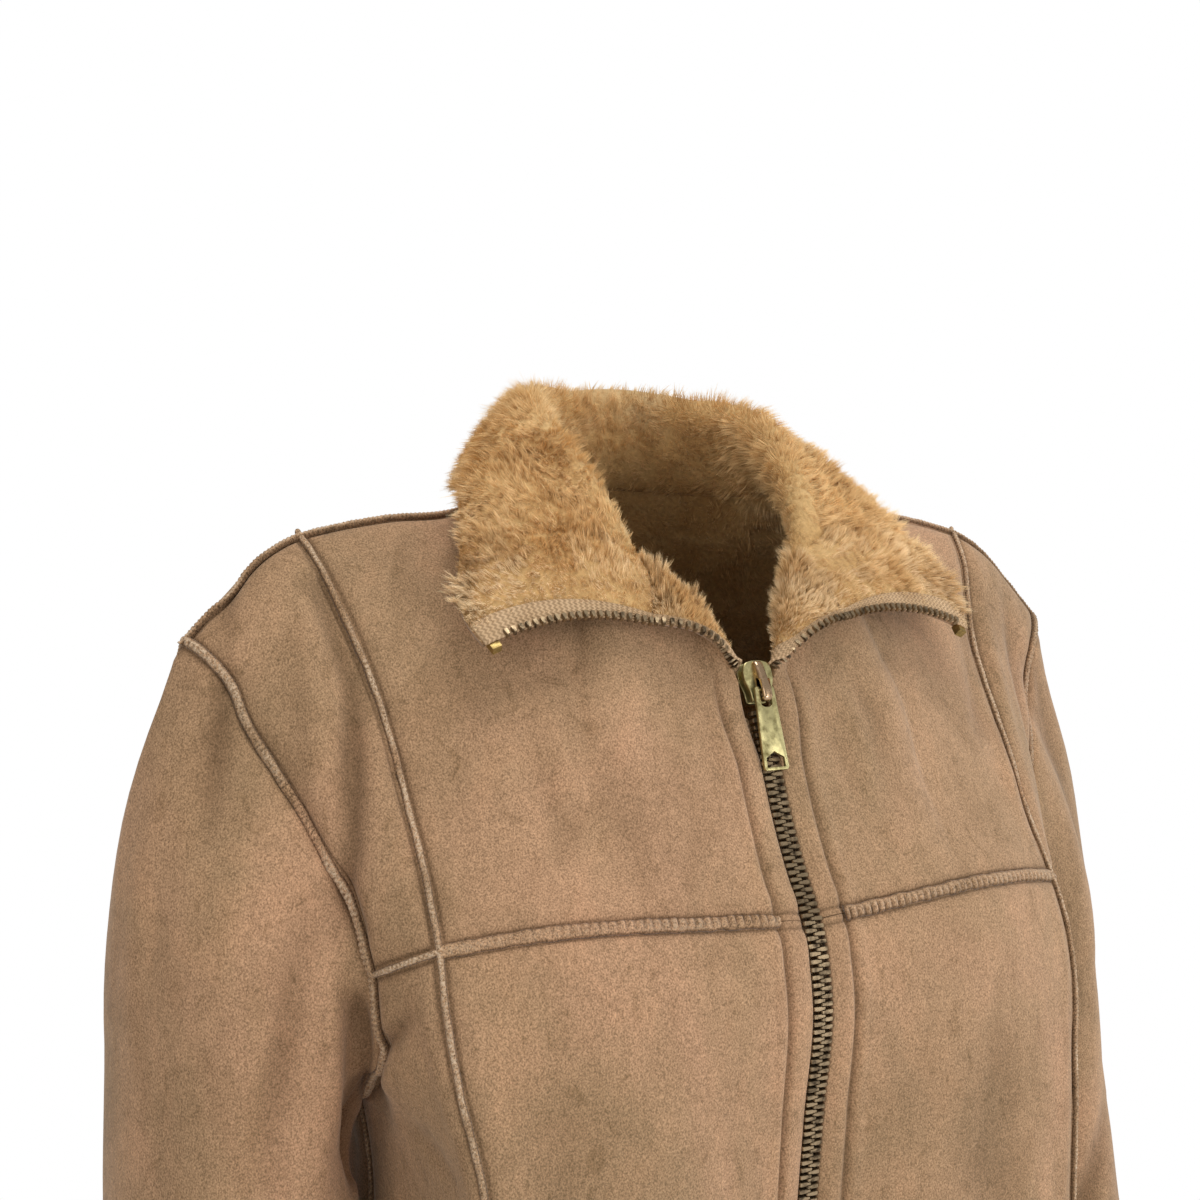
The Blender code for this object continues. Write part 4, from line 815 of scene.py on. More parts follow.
def relief(points):
    """How far the worn cloth stands out from its plain form; nothing beside the zip."""
    flat = points.reshape(-1, 3)
    out = waves(flat, LONG_WAVES, WAVE_HEIGHT)
    for fold in ALL_FOLDS:
        away, place = near_line(flat, smooth_line(fold.points, LOOSE))
        ends = np.sin(math.pi * np.clip(place, 0.0, 1.0)) ** 0.6
        out = out + fold.height * bell(away, fold.width) * ends
    zip_line = ZIP_LINE + LAPEL_EDGE[1:] + COLLAR_FRONT[1:]
    both = [zip_line, [At(-p.x, p.y, p.z) for p in zip_line]]
    low = [At(0, row.centre_y, row.z) for row in LEVELS] + [BUST, CHEST_CENTRE]
    calm = np.ones(len(flat))
    for line in both + [low]:
        calm = np.minimum(calm, step_up(near_line(flat, line)[0], *CALM))
    return (out * calm).reshape(points.shape[:-1])


# ---------------------------------------------------------------- procedural materials
WHITE = (1.0, 1.0, 1.0)


class Shader:
    """A material made node by node on Blender's Principled BSDF."""

    def __init__(self, name, roughness, metallic=0.0):
        self.material = bpy.data.materials.new(name)
        self.material.use_nodes = True
        self.tree = self.material.node_tree
        self.surface = self.tree.nodes["Principled BSDF"]
        self.set(Roughness=roughness, Metallic=metallic)
        self.place = self.made("ShaderNodeTexCoord", {}, "Object")

    def set(self, **values):
        """Plain values for the surface."""
        for name, value in values.items():
            self.surface.inputs[name.replace("_", " ")].default_value = value

    def feed(self, **outputs):
        """Nodes' outputs for the surface."""
        for name, output in outputs.items():
            self.tree.links.new(output, self.surface.inputs[name.replace("_", " ")])

    def made(self, kind, values, output=0, **settings):
        """An output of a new node; its inputs, by name or number, get outputs, colours or numbers."""
        node = self.tree.nodes.new(kind)
        for name, value in settings.items():
            setattr(node, name, value)
        for key, value in values.items():
            socket = node.inputs[key]
            if isinstance(value, bpy.types.NodeSocket):
                self.tree.links.new(value, socket)
            elif socket.type == "RGBA":
                socket.default_value = (*value, 1.0)
            else:
                socket.default_value = value
        return node.outputs[output]

    def noise(self, scale, detail=3.0, roughness=0.55, stretch=(1, 1, 1), distortion=0.0):
        """Noise over the object's own coordinates, scaled along each axis."""
        place = self.made("ShaderNodeMapping", {"Vector": self.place, "Scale": stretch}, "Vector")
        return self.made("ShaderNodeTexNoise",
                         {"Vector": place, "Scale": scale, "Detail": detail, "Roughness": roughness,
                          "Distortion": distortion}, "Fac")

    def ramp(self, value, stops):
        """A colour for each value: stops are (place, colour)."""
        node = self.tree.nodes.new("ShaderNodeValToRGB")
        while len(node.color_ramp.elements) < len(stops):
            node.color_ramp.elements.new(0.5)
        for element, (place, colour) in zip(node.color_ramp.elements, stops):
            element.position = place
            element.color = (*colour, 1.0)
        self.tree.links.new(value, node.inputs["Fac"])
        return node.outputs["Color"]

    def grey(self, value, low, high):
        """A value stretched so that low becomes 0 and high becomes 1."""
        return self.made("ShaderNodeMapRange", {"Value": value, "From Min": low, "From Max": high},
                         "Result")

    def mix(self, factor, first, second, blend="MIX"):
        """Two colours mixed; the factor is a number or a node's output."""
        return self.made("ShaderNodeMix", {"Factor": factor, 6: first, 7: second}, 2,
                         data_type="RGBA", blend_type=blend)

    def tint(self, share, tone, value, *colours):
        """A tone multiplied by a ramp of evenly spaced colours over a value from 0 to 1."""
        stops = [(k / (len(colours) - 1), colour) for k, colour in enumerate(colours)]
        return self.mix(share, tone, self.ramp(value, stops), "MULTIPLY")

    def attribute(self, name):
        return self.made("ShaderNodeAttribute", {}, "Fac", attribute_name=name)

    def math(self, operation, *values):
        return self.made("ShaderNodeMath", dict(enumerate(values)), operation=operation)

    def wave(self, name):
        """A wave from -1 to 1 over an attribute that counts turns."""
        return self.math("SINE", self.math("MULTIPLY", self.attribute(name), 2 * math.pi))

    def bumps(self, *layers):
        """Bump layers, each (height, strength, distance in metres)."""
        below = {}
        for height, strength, distance in layers:
            normal = self.made("ShaderNodeBump", {"Height": height, "Strength": strength,
                                                  "Distance": distance, **below}, "Normal")
            below = {"Normal": normal}
        self.feed(Normal=normal)


def suede_material(name, seam=False):
    """Napped faux suede: cloudy olive and pink patches, brush marks and a fine grain.

    Attributes of the mesh paint shade into its seams' grooves, the placket's crease, its folds' troughs
    and the cuts between a seam's beads (crease), rub its seams' crowns fairer (worn) and rib them (rib, in
    turns).  A seam's turned-in edges are fuzzier than the cloth.
    """
    s = Shader(name, roughness=0.90)
    s.set(Specular_IOR_Level=0.08, Sheen_Weight=0.24, Sheen_Roughness=0.42,
          Sheen_Tint=(1.0, 0.90, 0.80, 1.0))
    clouds = s.grey(s.noise(11, 3, 0.55, (1, 1, 0.55), 0.5), 0.38, 0.62)
    patches = s.grey(s.noise(34, 4, 0.62, (1, 1, 0.60), 0.7), 0.34, 0.66)
    brushed = s.grey(s.noise(260, 4, 0.66, (1, 1, 0.60), 0.4), 0.30, 0.70)
    marks = s.grey(s.noise(75, 5, 0.74, (1, 1, 0.7), 1.8), 0.55, 0.68)
    rubbed = s.grey(s.noise(1000, roughness=0.7), 0.42, 0.60)
    grain = s.noise(1600, 1.5, 0.6, (1, 1, 0.80))
    tone = s.ramp(clouds, [(0.0, (0.333, 0.211, 0.118)), (0.45, (0.378, 0.234, 0.133)),
                           (1.0, (0.424, 0.253, 0.149))])
    tone = s.tint(0.9, tone, patches, (0.87, 0.855, 0.835), WHITE, (1.11, 1.08, 1.075))
    tone = s.tint(0.9, tone, brushed, (0.92, 0.92, 0.91), (1.08, 1.08, 1.08))
    tone = s.tint(0.9, tone, marks, WHITE, (0.74, 0.73, 0.69))
    deep = 0.40 if seam else 0.60
    tone = s.tint(1.0, tone, s.grey(grain, 0.30, 0.70), (deep, deep, deep * 0.96), (2 - deep,) * 3)
    tone = s.mix(s.math("MULTIPLY", s.attribute("worn"), rubbed), tone, (0.660, 0.500, 0.345))
    # Painted shade: the crease attribute darkens the colour in grooves, troughs and bead cuts.
    tone = s.mix(s.attribute("crease"), tone, s.mix(1.0, tone, (0.26, 0.23, 0.20), "MULTIPLY"))
    s.feed(Base_Color=tone)
    s.bumps((brushed, 0.35, 0.0005), (grain, 0.8 if seam else 0.40, 0.0004),
            (s.wave("rib"), 0.5, 0.0003))
    return s.material


def pile_material(name, lift):
    """Golden plush pile: golden, creamy and brown tufts.

    Standing strands (lift) are painted darker towards the root, as the shade deep in the pile, and have a
    fairer tip; the pile pressed flat is bumpy and painted darker throughout, as the shade among the
    strands' roots.
    """
    s = Shader(name, roughness=0.72)
    s.set(Specular_IOR_Level=0.18, Sheen_Weight=0.30, Sheen_Roughness=0.35,
          Sheen_Tint=(1.0, 0.86, 0.60, 1.0))
    tuft = s.grey(s.noise(38, distortion=0.9), 0.34, 0.66)
    cream = s.grey(s.noise(19, 2, 0.5, distortion=0.8), 0.58, 0.80)
    body = s.ramp(tuft, [(0.0, (0.65, 0.415, 0.180)), (0.45, (0.75, 0.505, 0.235)),
                         (1.0, (0.82, 0.575, 0.285))])
    body = s.mix(cream, body, (0.82, 0.640, 0.385))
    if lift:
        along = s.attribute("along")
        body = s.mix(s.math("MULTIPLY", s.attribute("fair"), along), body, (0.94, 0.800, 0.570))
        body = s.tint(0.9, body, s.attribute("lock"), (0.84, 0.81, 0.76), WHITE, (1.16, 1.18, 1.22))
        # Painted shade: each strand darker towards its root, and darker in the partings, where along is
        # lowered; its tip fairer.
        body = s.tint(1.0, body, along, (0.56, 0.48, 0.38), (0.95, 0.93, 0.90), (1.22, 1.25, 1.30))
    else:
        # Painted shade: the pressed pile's colour is darkened throughout, for the roots among the standing
        # strands.
        body = s.mix(1.0, body, (0.80, 0.75, 0.68), "MULTIPLY")
        fine = s.noise(520, roughness=0.6)
        specks = s.ramp(fine, [(0.3, (0.60, 0.56, 0.50)), (0.7, (1.1, 1.1, 1.1))])
        body = s.mix(0.6, body, specks, "MULTIPLY")
        s.bumps((tuft, 0.5, 0.002), (fine, 0.8, 0.0012))
    s.feed(Base_Color=body)
    return s.material


SUEDE = suede_material("suede")
SEAM = suede_material("seam", seam=True)
PILE = pile_material("pile", lift=False)
STRANDS = pile_material("pile_strands", lift=True)


# ---------------------------------------------------------------- cloth panels
def linked(name, data):
    """A new object in the scene."""
    item = bpy.data.objects.new(name, data)
    bpy.context.scene.collection.objects.link(item)
    return item


def mesh_from(shape, name):
    """A mesh made from a bmesh, which is then freed."""
    mesh = bpy.data.meshes.new(name)
    shape.to_mesh(mesh)
    shape.free()
    return mesh


def add_mesh(name, points, faces, materials, which=None):
    """A smooth mesh object; which gives each face's material."""
    mesh = bpy.data.meshes.new(name)
    faces = faces.tolist() if isinstance(faces, np.ndarray) else faces
    mesh.from_pydata(np.asarray(points).tolist(), [], faces)
    for item in materials:
        mesh.materials.append(item)
    if which is not None:
        mesh.polygons.foreach_set("material_index", np.asarray(which, dtype=np.int32))
    shade(mesh, smooth=True)
    mesh.update()
    return linked(name, mesh)


def shade(mesh, smooth):
    """Smooth or flat shading for every face."""
    mesh.polygons.foreach_set("use_smooth", np.full(len(mesh.polygons), smooth))


def mark(item, **values):
    """Named numbers for each point of a mesh, which its material reads."""
    for name, numbers in values.items():
        made = item.data.attributes.new(name, "FLOAT", "POINT")
        made.data.foreach_set("value", np.asarray(numbers, dtype=np.float32).ravel())


def quads(number):
    """The quads between the numbered points of a grid, as four columns."""
    corners = number[:-1, :-1], number[:-1, 1:], number[1:, 1:], number[1:, :-1]
    return np.stack([corner.ravel() for corner in corners], axis=1)


def shell_faces(rows, columns, closed):
    """Quads of a closed wall on a grid: outer, inner and rims, with the inner ones marked."""
    used = columns - 1 if closed else columns
    half = rows * used
    number = np.arange(half).reshape(rows, used)
    if closed:
        number = np.concatenate([number, number[:, :1]], axis=1)
    outer = quads(number)
    inner = outer[:, ::-1] + half
    rims = [(number[0, 1:], number[0, :-1]), (number[-1, :-1], number[-1, 1:])]
    if not closed:
        rims += [(number[:-1, 0], number[1:, 0]), (number[1:, -1], number[:-1, -1])]
    rim = np.concatenate([np.stack([s, e, e + half, s + half], axis=1) for s, e in rims])
    return np.concatenate([outer, inner, rim]), np.repeat([0, 1, 0], [len(outer), len(inner), len(rim)])


def add_panel(name, node, outer, inner, closed=False, flip=False):
    """One cut piece as a closed wall, which stands for its solid; the solid is hidden."""
    rows, columns = outer.shape[:2]
    used = columns - 1 if closed else columns
    points = np.concatenate([outer[:, :used].reshape(-1, 3), inner[:, :used].reshape(-1, 3)])
    faces, which = shell_faces(rows, columns, closed)
    if flip:
        points, faces = points * MIRRORED, faces[:, ::-1]
    item = add_mesh(name, points, faces, [SUEDE, PILE], which)
    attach(item, "jacket")
    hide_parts(node)
    return item


def read_across(grid, places):
    """A grid read at other places along its columns, on smooth curves."""
    last = grid.shape[1] - 1
    k = np.clip(np.floor(places).astype(int), 0, last - 1)
    t = (places - k)[None, :, None]
    a, b, c, d = (grid[:, np.clip(k + step, 0, last)] for step in (-1, 0, 1, 2))
    return b + 0.5 * t * (c - a + t * (2 * a - 5 * b + 4 * c - d + t * (3 * (b - c) + d - a)))


def edge_lengths(grid):
    """For each point of a grid, its distance along the cloth from the first column."""
    steps = np.linalg.norm(np.diff(grid, axis=1), axis=-1)
    return np.concatenate([np.zeros((len(grid), 1)), np.cumsum(steps, axis=1)], axis=1)


PLACKET = 0.0112           # zip edge to the crease that holds the tape
PLACKET_REACH = 0.0190     # how far from the zip edge the cells are fine
PLACKET_STEPS = np.linspace(0, PLACKET_REACH, 31)
# Distances from a seam at which its panels get fine cells.
SEAM_STEPS = np.array([0.0, 0.0007, 0.0014, 0.0020, 0.0026, 0.0032, 0.0040, 0.0052, 0.0070])
FREE_STEPS = np.array([0.0])
GROOVE = 0.0022            # from a seam to the groove beside its raised band
GROOVE_WIDTH = 0.0007
GROOVE_DEEP = 0.0006       # how deep a groove is
GROOVE_SHADE = 0.50        # painted shade: how much darker the cloth's colour is made in a groove
SEAM_PULL = 0.0009         # how far a seam pulls the cloth in
PUFF = 0.0007              # how far the cloth swells beside a groove
PLACKET_PUFF = 0.0013      # how far the placket swells out
PLACKET_CREASE = 0.0017    # how deep its crease is
DEEP_TROUGH = 0.0030       # the depth of a deep fold
FOLD_SHADE = 0.42          # painted shade: how much darker the cloth's colour is made at the bottom of a deep trough
CHEST_WIDER = 0.0007       # the chest seam's band is wider by this on each side


def placket(away):
    """The puffed fold of cloth beside the zip, the crease that ends it, and a low swell past it."""
    roll = np.sin(math.pi * np.clip(away / PLACKET, 0, 1)) ** 0.7 * PLACKET_PUFF
    crease = -PLACKET_CREASE * bell(away - PLACKET, 0.0014)
    past = PUFF * bell(away - PLACKET - 0.0042, 0.0028)
    return roll + crease + past


def dip(away):
    """Cloth pulled in beside a seam, grooved by its band, and puffed a little past it."""
    return (PUFF * bell(away - 0.0085, 0.0042) - SEAM_PULL * bell(away, 0.0040)
            - GROOVE_DEEP * bell(away - GROOVE, GROOVE_WIDTH))


def finer_places(run, start, end):
    """Where to read a row of points: fine steps at both ends, and its own points between."""
    index = np.arange(len(run), dtype=float)
    low = np.interp(start, run, index)
    high = index[-1] - np.interp(end, run[-1] - run[::-1], index)
    middle = index[(index > low[-1] + 0.4) & (index < high[-1] - 0.4)]
    return np.concatenate([low, middle, high[::-1]])


def refined(faces, left, right, low, high):
    """The faces of a wall with finer cells beside its seams."""
    outer = faces[0]
    across = edge_lengths(outer).mean(axis=0)
    up = edge_lengths(outer.transpose(1, 0, 2)).mean(axis=0)
    columns = finer_places(across, left, right)
    rows = finer_places(up, low, high)
    wide = [read_across(face, columns) for face in faces]
    tall = [read_across(face.transpose(1, 0, 2), rows).transpose(1, 0, 2) for face in wide]
    return tall[0], tall[1], units(tall[2])


# Which rims of each panel are seams: first column, last column, first row, last row.
RIMS = {
    "front_upper_centre": (PLACKET_STEPS, SEAM_STEPS, SEAM_STEPS, SEAM_STEPS),
    "front_lower_centre": (PLACKET_STEPS, SEAM_STEPS, FREE_STEPS, SEAM_STEPS),
    "front_upper_side": (SEAM_STEPS, SEAM_STEPS, SEAM_STEPS, SEAM_STEPS),
    "front_lower_side": (SEAM_STEPS, SEAM_STEPS, FREE_STEPS, SEAM_STEPS),
    "sleeve": (FREE_STEPS, FREE_STEPS, FREE_STEPS, SEAM_STEPS),
    "back": (SEAM_STEPS, SEAM_STEPS, FREE_STEPS, SEAM_STEPS),
}


def seam_distance(outer, name):
    """How far each point lies from the seams at its panel's rim, the zip edge apart."""
    across = edge_lengths(outer)
    up = edge_lengths(outer.transpose(1, 0, 2)).T
    left, right, low, high = (steps is SEAM_STEPS for steps in RIMS[name])
    away = np.full(outer.shape[:2], 1.0)
    past = up[-1:] - up
    if name == "front_lower_centre":
        past = np.maximum(past - CHEST_WIDER, 0)
    if name == "front_upper_centre":
        up = np.maximum(up - CHEST_WIDER, 0)
    for seam, distance in ((left, across), (right, across[:, -1:] - across), (low, up), (high, past)):
        if seam:
            away = np.minimum(away, distance)
    return away


def painted_crease_shade(name, outer, lie):
    """Painted shade in the cloth's grooves and troughs: how much its colour is darkened beside seams, in
    the placket's crease and in folds.
    """
    away = seam_distance(outer, name)
    dark = GROOVE_SHADE * bell(away - GROOVE, GROOVE_WIDTH) + 0.09 * bell(away, 0.0060)
    if name.endswith("centre"):
        near = bell(edge_lengths(outer) - PLACKET, 0.0010)
        dark = np.maximum(dark, GROOVE_SHADE * near * placket_share(outer))
    return np.clip(dark + FOLD_SHADE * np.clip(-lie / DEEP_TROUGH, 0, 1.5), 0, 1)


def build_cloth():
    """Every cut piece.  Returns the seams, the shared normals, and the walls for the pile."""
    s = sample_seams()
    half_collar = grid_collar_half(s)
    collar = np.concatenate([half_collar, mirrored(half_collar)[:, 1:]], axis=1)
    half = grid_back_half(s)
    back = np.concatenate([mirrored(half), half[:, 1:]], axis=1)[:, ::-1]
    pieces = {"front_upper_centre": (grid_chest_centre(s), False),
              "front_upper_side": (grid_chest_side(s), False),
              "front_lower_centre": (grid_lower_centre(s), False),
              "front_lower_side": (grid_lower_side(s), False),
              "sleeve": (grid_sleeve(s)[:, ::-1], True)}
    everything = list(pieces.values()) + [(mirrored(grid), closed) for grid, closed in pieces.values()]
    meeting = collect_seam_normals(everything + [(back, False), (collar, False)])
    pieces["back"] = (back, False)
    walls = {}
    for name, (grid, closed) in pieces.items():
        walls[name] = wall(grid, closed, meeting, np.full(grid.shape[:2], CLOTH))
        outer, inner, mean = refined(walls[name], *RIMS[name])
        for side, flip in (("", False),) if name == "back" else SIDES:
            node = name + "_" + side if side else name
            lie = relief(outer * (MIRRORED if flip else 1.0))
            swell = lie + dip(seam_distance(outer, name))
            if name.endswith("centre"):
                swell = swell + placket(edge_lengths(outer)) * placket_share(outer)
            item = add_panel(node + "_cloth", node, outer + mean * swell[..., None],
                             inner + mean * lie[..., None], closed, flip)
            # Painted shade in grooves and troughs, passed to the material as the crease attribute.
            dark = painted_crease_shade(name, outer, lie)
            used = dark.shape[1] - (1 if closed else 0)
            mark(item, crease=np.tile(dark[:, :used].ravel(), 2))
    thickness = CLOTH + FUR_UNDER_STRANDS * (FUR - CLOTH) * collar_pile(collar)
    walls["collar"] = wall(collar, False, meeting, thickness)
    outer, inner, _ = walls["collar"]
    add_panel("collar_cloth", "collar", outer, inner)
    return s, meeting, walls


def placket_share(outer):
    """The placket fades out on the turned-out lapel."""
    slider = ZIP_LINE[-1].z
    return 1 - step_up(outer[:, :1, 2], slider - 0.016, slider + 0.014)


# ---------------------------------------------------------------- raised seams
# A band along a seam: its width, its height, the pitch of its beads or cross ribs, how deep the
# beads are cut, how far the ribs lean, and how fair its crown is rubbed.
Band = namedtuple("Band", "width height pitch beads lean worn")
LADDER = Band(0.0056, 0.0016, 0.0036, 1.0, 0.30, 0.28)      # chest seam
ARM_BAND = Band(0.0042, 0.0015, 0.0023, 0.55, 0.80, 0.50)   # armhole
CORD = Band(0.0028, 0.0011, 0.0019, 0.40, 0.70, 0.66)       # princess, shoulder and side seams
BAND_STEP = 0.0007         # between two rows of a band's points
BAND_SINK = 0.0014         # its edges lie this far under the cloth's face
# Where a band's points lie across it, from one edge (-1) to the other (1).
BAND_PROFILE = (-1.0, -0.95, -0.84, -0.66, -0.42, -0.16, 0.16, 0.42, 0.66, 0.84, 0.95, 1.0)
UNEVEN = wave_set(8, 0.004, 0.020, seed=51)
WANDER = wave_set(6, 0.015, 0.050, seed=52)
RUBBED = wave_set(8, 0.008, 0.040, seed=53)
BAND_WANDER = 0.00022      # how far a band strays to each side of its seam
TIP = 0.0020               # how far a seam's end sticks out past the seam that it meets
TIP_LIFT = 0.25            # and how far it lifts off the cloth, as a share of that


def seam_normals_on(line, meeting):
    """The normals that the pieces share along a seam."""
    return np.array([shared_normal(meeting[vertex_key(point)])[0] for point in line])


def evenly(line, values, step):
    """A line and the values along it, at even small steps."""
    run = run_length(line)
    want = np.linspace(0, run[-1], max(4, int(run[-1] / step)) + 1)
    return read_line(line, run, want), read_line(values, run, want), want


def longer(line, normals, tip):
    """A seam run on past its end, where the turned-in edges stick out as a small nib."""
    nib = line[-1] + units(line[-1] - line[-2]) * tip + normals[-1] * tip * TIP_LIFT
    return np.concatenate([line, [nib]]), np.concatenate([normals, normals[-1:]])


def add_band(name, line, normals, band, flip, fade, tip):
    """A raised band of turned-in edges along a seam, in the groove that it pulls in the cloth.

    fade is how much of its height is gone at its start and at its end.
    """
    turn = MIRRORED if flip else 1.0
    if tip:
        line, normals = longer(line, normals, tip)
    line, normals, run = evenly(line, normals, BAND_STEP)
    line = line * turn
    normals = units(normals * turn)
    along = units(np.gradient(line, axis=0))
    side = units(np.cross(normals, along))
    line = line + normals * relief(line)[:, None] + side * waves(line, WANDER, BAND_WANDER)[:, None]
    share = run / run[-1]
    tall = (1 - fade[0] * (1 - share) - fade[1] * share) * (1 + waves(line, UNEVEN, 0.10))
    half = band.width / 2 * (1 + waves(line, UNEVEN, 0.08))
    bead = 0.5 + 0.5 * np.cos(2 * math.pi * run / band.pitch)
    worn = np.clip(band.worn * (1 + waves(line, RUBBED, 0.9)), 0, 1)
    rows, crease, rub, rib = [], [], [], []
    for place in BAND_PROFILE:
        crown = (1 - abs(place) ** 2.4) ** 0.5
        cut = band.beads * (1 - bead ** 0.55) * crown * tall * (0.75 - 0.35 * place)
        rise = (band.height * tall + BAND_SINK) * crown * (1 - cut * 0.7) - BAND_SINK
        rows.append(line + side * (half * place)[:, None] + normals * rise[:, None])
        # Painted shade: the band's edges, where it sinks into its groove, and the cuts between its beads
        # are darkened (crease).
        crease.append(np.clip(0.75 * step_up(abs(place), 0.62, 0.97) + 1.3 * cut ** 1.5, 0, 1))
        rub.append(worn * step_up(crown, 0.55, 0.95))
        rib.append(run / band.pitch + band.lean * place)
    outer = np.stack(rows, axis=1)
    points, faces = tube_faces(outer)
    item = add_mesh(name, points, faces, [SEAM])
    mark(item, crease=np.stack(crease, axis=1), worn=np.stack(rub, axis=1), rib=np.stack(rib, axis=1))
    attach(item, "jacket")


def tube_faces(grid):
    """Points and quads of a closed strip: the grid on top, one plain face below, and two ends."""
    rows, columns = grid.shape[:2]
    number = np.arange(rows * columns).reshape(rows, columns)
    faces = quads(np.concatenate([number, number[:, :1]], axis=1)).tolist()
    return grid.reshape(-1, 3), faces + [number[0, ::-1].tolist(), number[-1].tolist()]


def add_seams(s, meeting):
    """Bands on every seam that shows, on both halves."""
    clear_of_zip = int(PLACKET / 0.0023) + 1     # cells
    armhole = join(s["arm_front"][::-1], s["arm_low"][::-1], s["arm_back"])
    shoulder = join(s["shoulder_in"][ACROSS:], s["shoulder_out"])
    even = (0.0, 0.0)
    rows = (("chest", s["chest"][clear_of_zip:], LADDER, "front_upper_centre_", (0.0, 0.55), 0),
            ("chest_side", s["chest_side"], CORD, "front_lower_side_", even, 0),
            ("princess_up", s["princess_up"], CORD, "front_upper_centre_", even, TIP),
            ("princess_low", s["princess_low"], CORD, "front_lower_side_", (0.3, 0.0), 0),
            ("armhole", armhole, ARM_BAND, "sleeve_", even, 0),
            ("shoulder", shoulder, CORD, "back", even, TIP),
            ("side", s["side"], CORD, "back", (0.3, 0.3), 0))
    for side, flip in SIDES:
        for name, line, band, node, fade, tip in rows:
            add_band(f"seam_{name}_{side}", line, seam_normals_on(line, meeting), band, flip, fade,
                     tip)


# ---------------------------------------------------------------- standing pile
STRAND_SEGMENTS = (0.0, 0.55, 1.0)   # along a strand
STRAND_WIDTHS = (0.00016, 0.00013)   # half of its width at the first two
BLADE = 5                  # points in a strand
CLUMP = 15                 # strands drawn together into one tuft
SWIRL = wave_set(7, 0.018, 0.060, seed=11)
TURN = wave_set(7, 0.014, 0.045, seed=12)
TUFTS = wave_set(9, 0.006, 0.016, seed=13)


def sample_grid(grid, weight, count, chance):
    """Random even places on a grid: cell row, cell column, and where in the cell."""
    cell = np.linalg.norm(cell_normals(grid), axis=-1)
    cell = cell * (weight[1:, 1:] + weight[:-1, :-1]) / 2
    picked = chance.choice(cell.size, size=count, p=(cell / cell.sum()).ravel())
    return picked // cell.shape[1], picked % cell.shape[1], chance.random(count), chance.random(count)


def read_grid(grid, place):
    """Values of a grid at sampled places."""
    i, j, v, u = place
    if grid.ndim == 3:
        v, u = v[:, None], u[:, None]
    return ((grid[i, j] * (1 - u) + grid[i, j + 1] * u) * (1 - v)
            + (grid[i + 1, j] * (1 - u) + grid[i + 1, j + 1] * u) * v)


# Lines where the pile parts, in millimetres: its strands are shorter there and painted darker, as the
# shade in the parting.
PARTINGS = [
    [(-74, -10, 3), (-87, -17, -8), (-93, -30, -22), (-98, -36, -32), (-101, -46, -45),
     (-103, -54, -56)],
    [(-75, -64, -66), (-70, -63, -61), (-64, -61, -55)],
    [(53, -30, -20), (50, -42, -36), (46, -50, -51), (42, -60, -60), (40, -69, -70)],
    [(66, -52, -58), (56, -56, -60), (46, -57, -58)],
]
PARTING_WIDTH = 0.0042
PARTING_SHORT = 0.35       # how much shorter the strands are in a parting
PARTING_SHADE = 0.55       # painted shade in a parting: how much darker its strands are made
MEAN_LEAN = 0.62           # of the strands: 0 stands upright
DROOP = 0.15               # how far their tips hang


def parted(points):
    """How deep points lie in a parting of the pile, 0 to 1."""
    deep = np.zeros(len(points))
    for line in PARTINGS:
        away, place = near_line(points, smooth_line(millimetres(line), LOOSE))
        ends = np.sin(math.pi * np.clip(place, 0.04, 0.96)) ** 0.5
        deep = np.maximum(deep, bell(away, PARTING_WIDTH) * ends)
    return deep


def tufts_of(roots, chance):
    """Which tuft each strand belongs to, and the strand in the middle of each tuft."""
    middles = chance.choice(len(roots), size=max(4, len(roots) // CLUMP), replace=False)
    tree = kdtree.KDTree(len(middles))
    for k, strand in enumerate(middles):
        tree.insert(roots[strand], k)
    tree.balance()
    return np.array([tree.find(root)[1] for root in roots]), middles


def blade_points(root, middle, tips, up, spin):
    """Five points for each strand: two across it at its root, two half way up, and its tip."""
    along = units(tips - root)
    side = units(np.cross(along, up + 0.01))
    wide = side * np.cos(spin)[:, None] + np.cross(along, side) * np.sin(spin)[:, None] * 0.6
    points = []
    for t, half in zip(STRAND_SEGMENTS, STRAND_WIDTHS):
        place = bow(t, root, middle, tips)
        points += [place - wide * half, place + wide * half]
    return np.stack(points + [tips], axis=1).reshape(-1, 3)


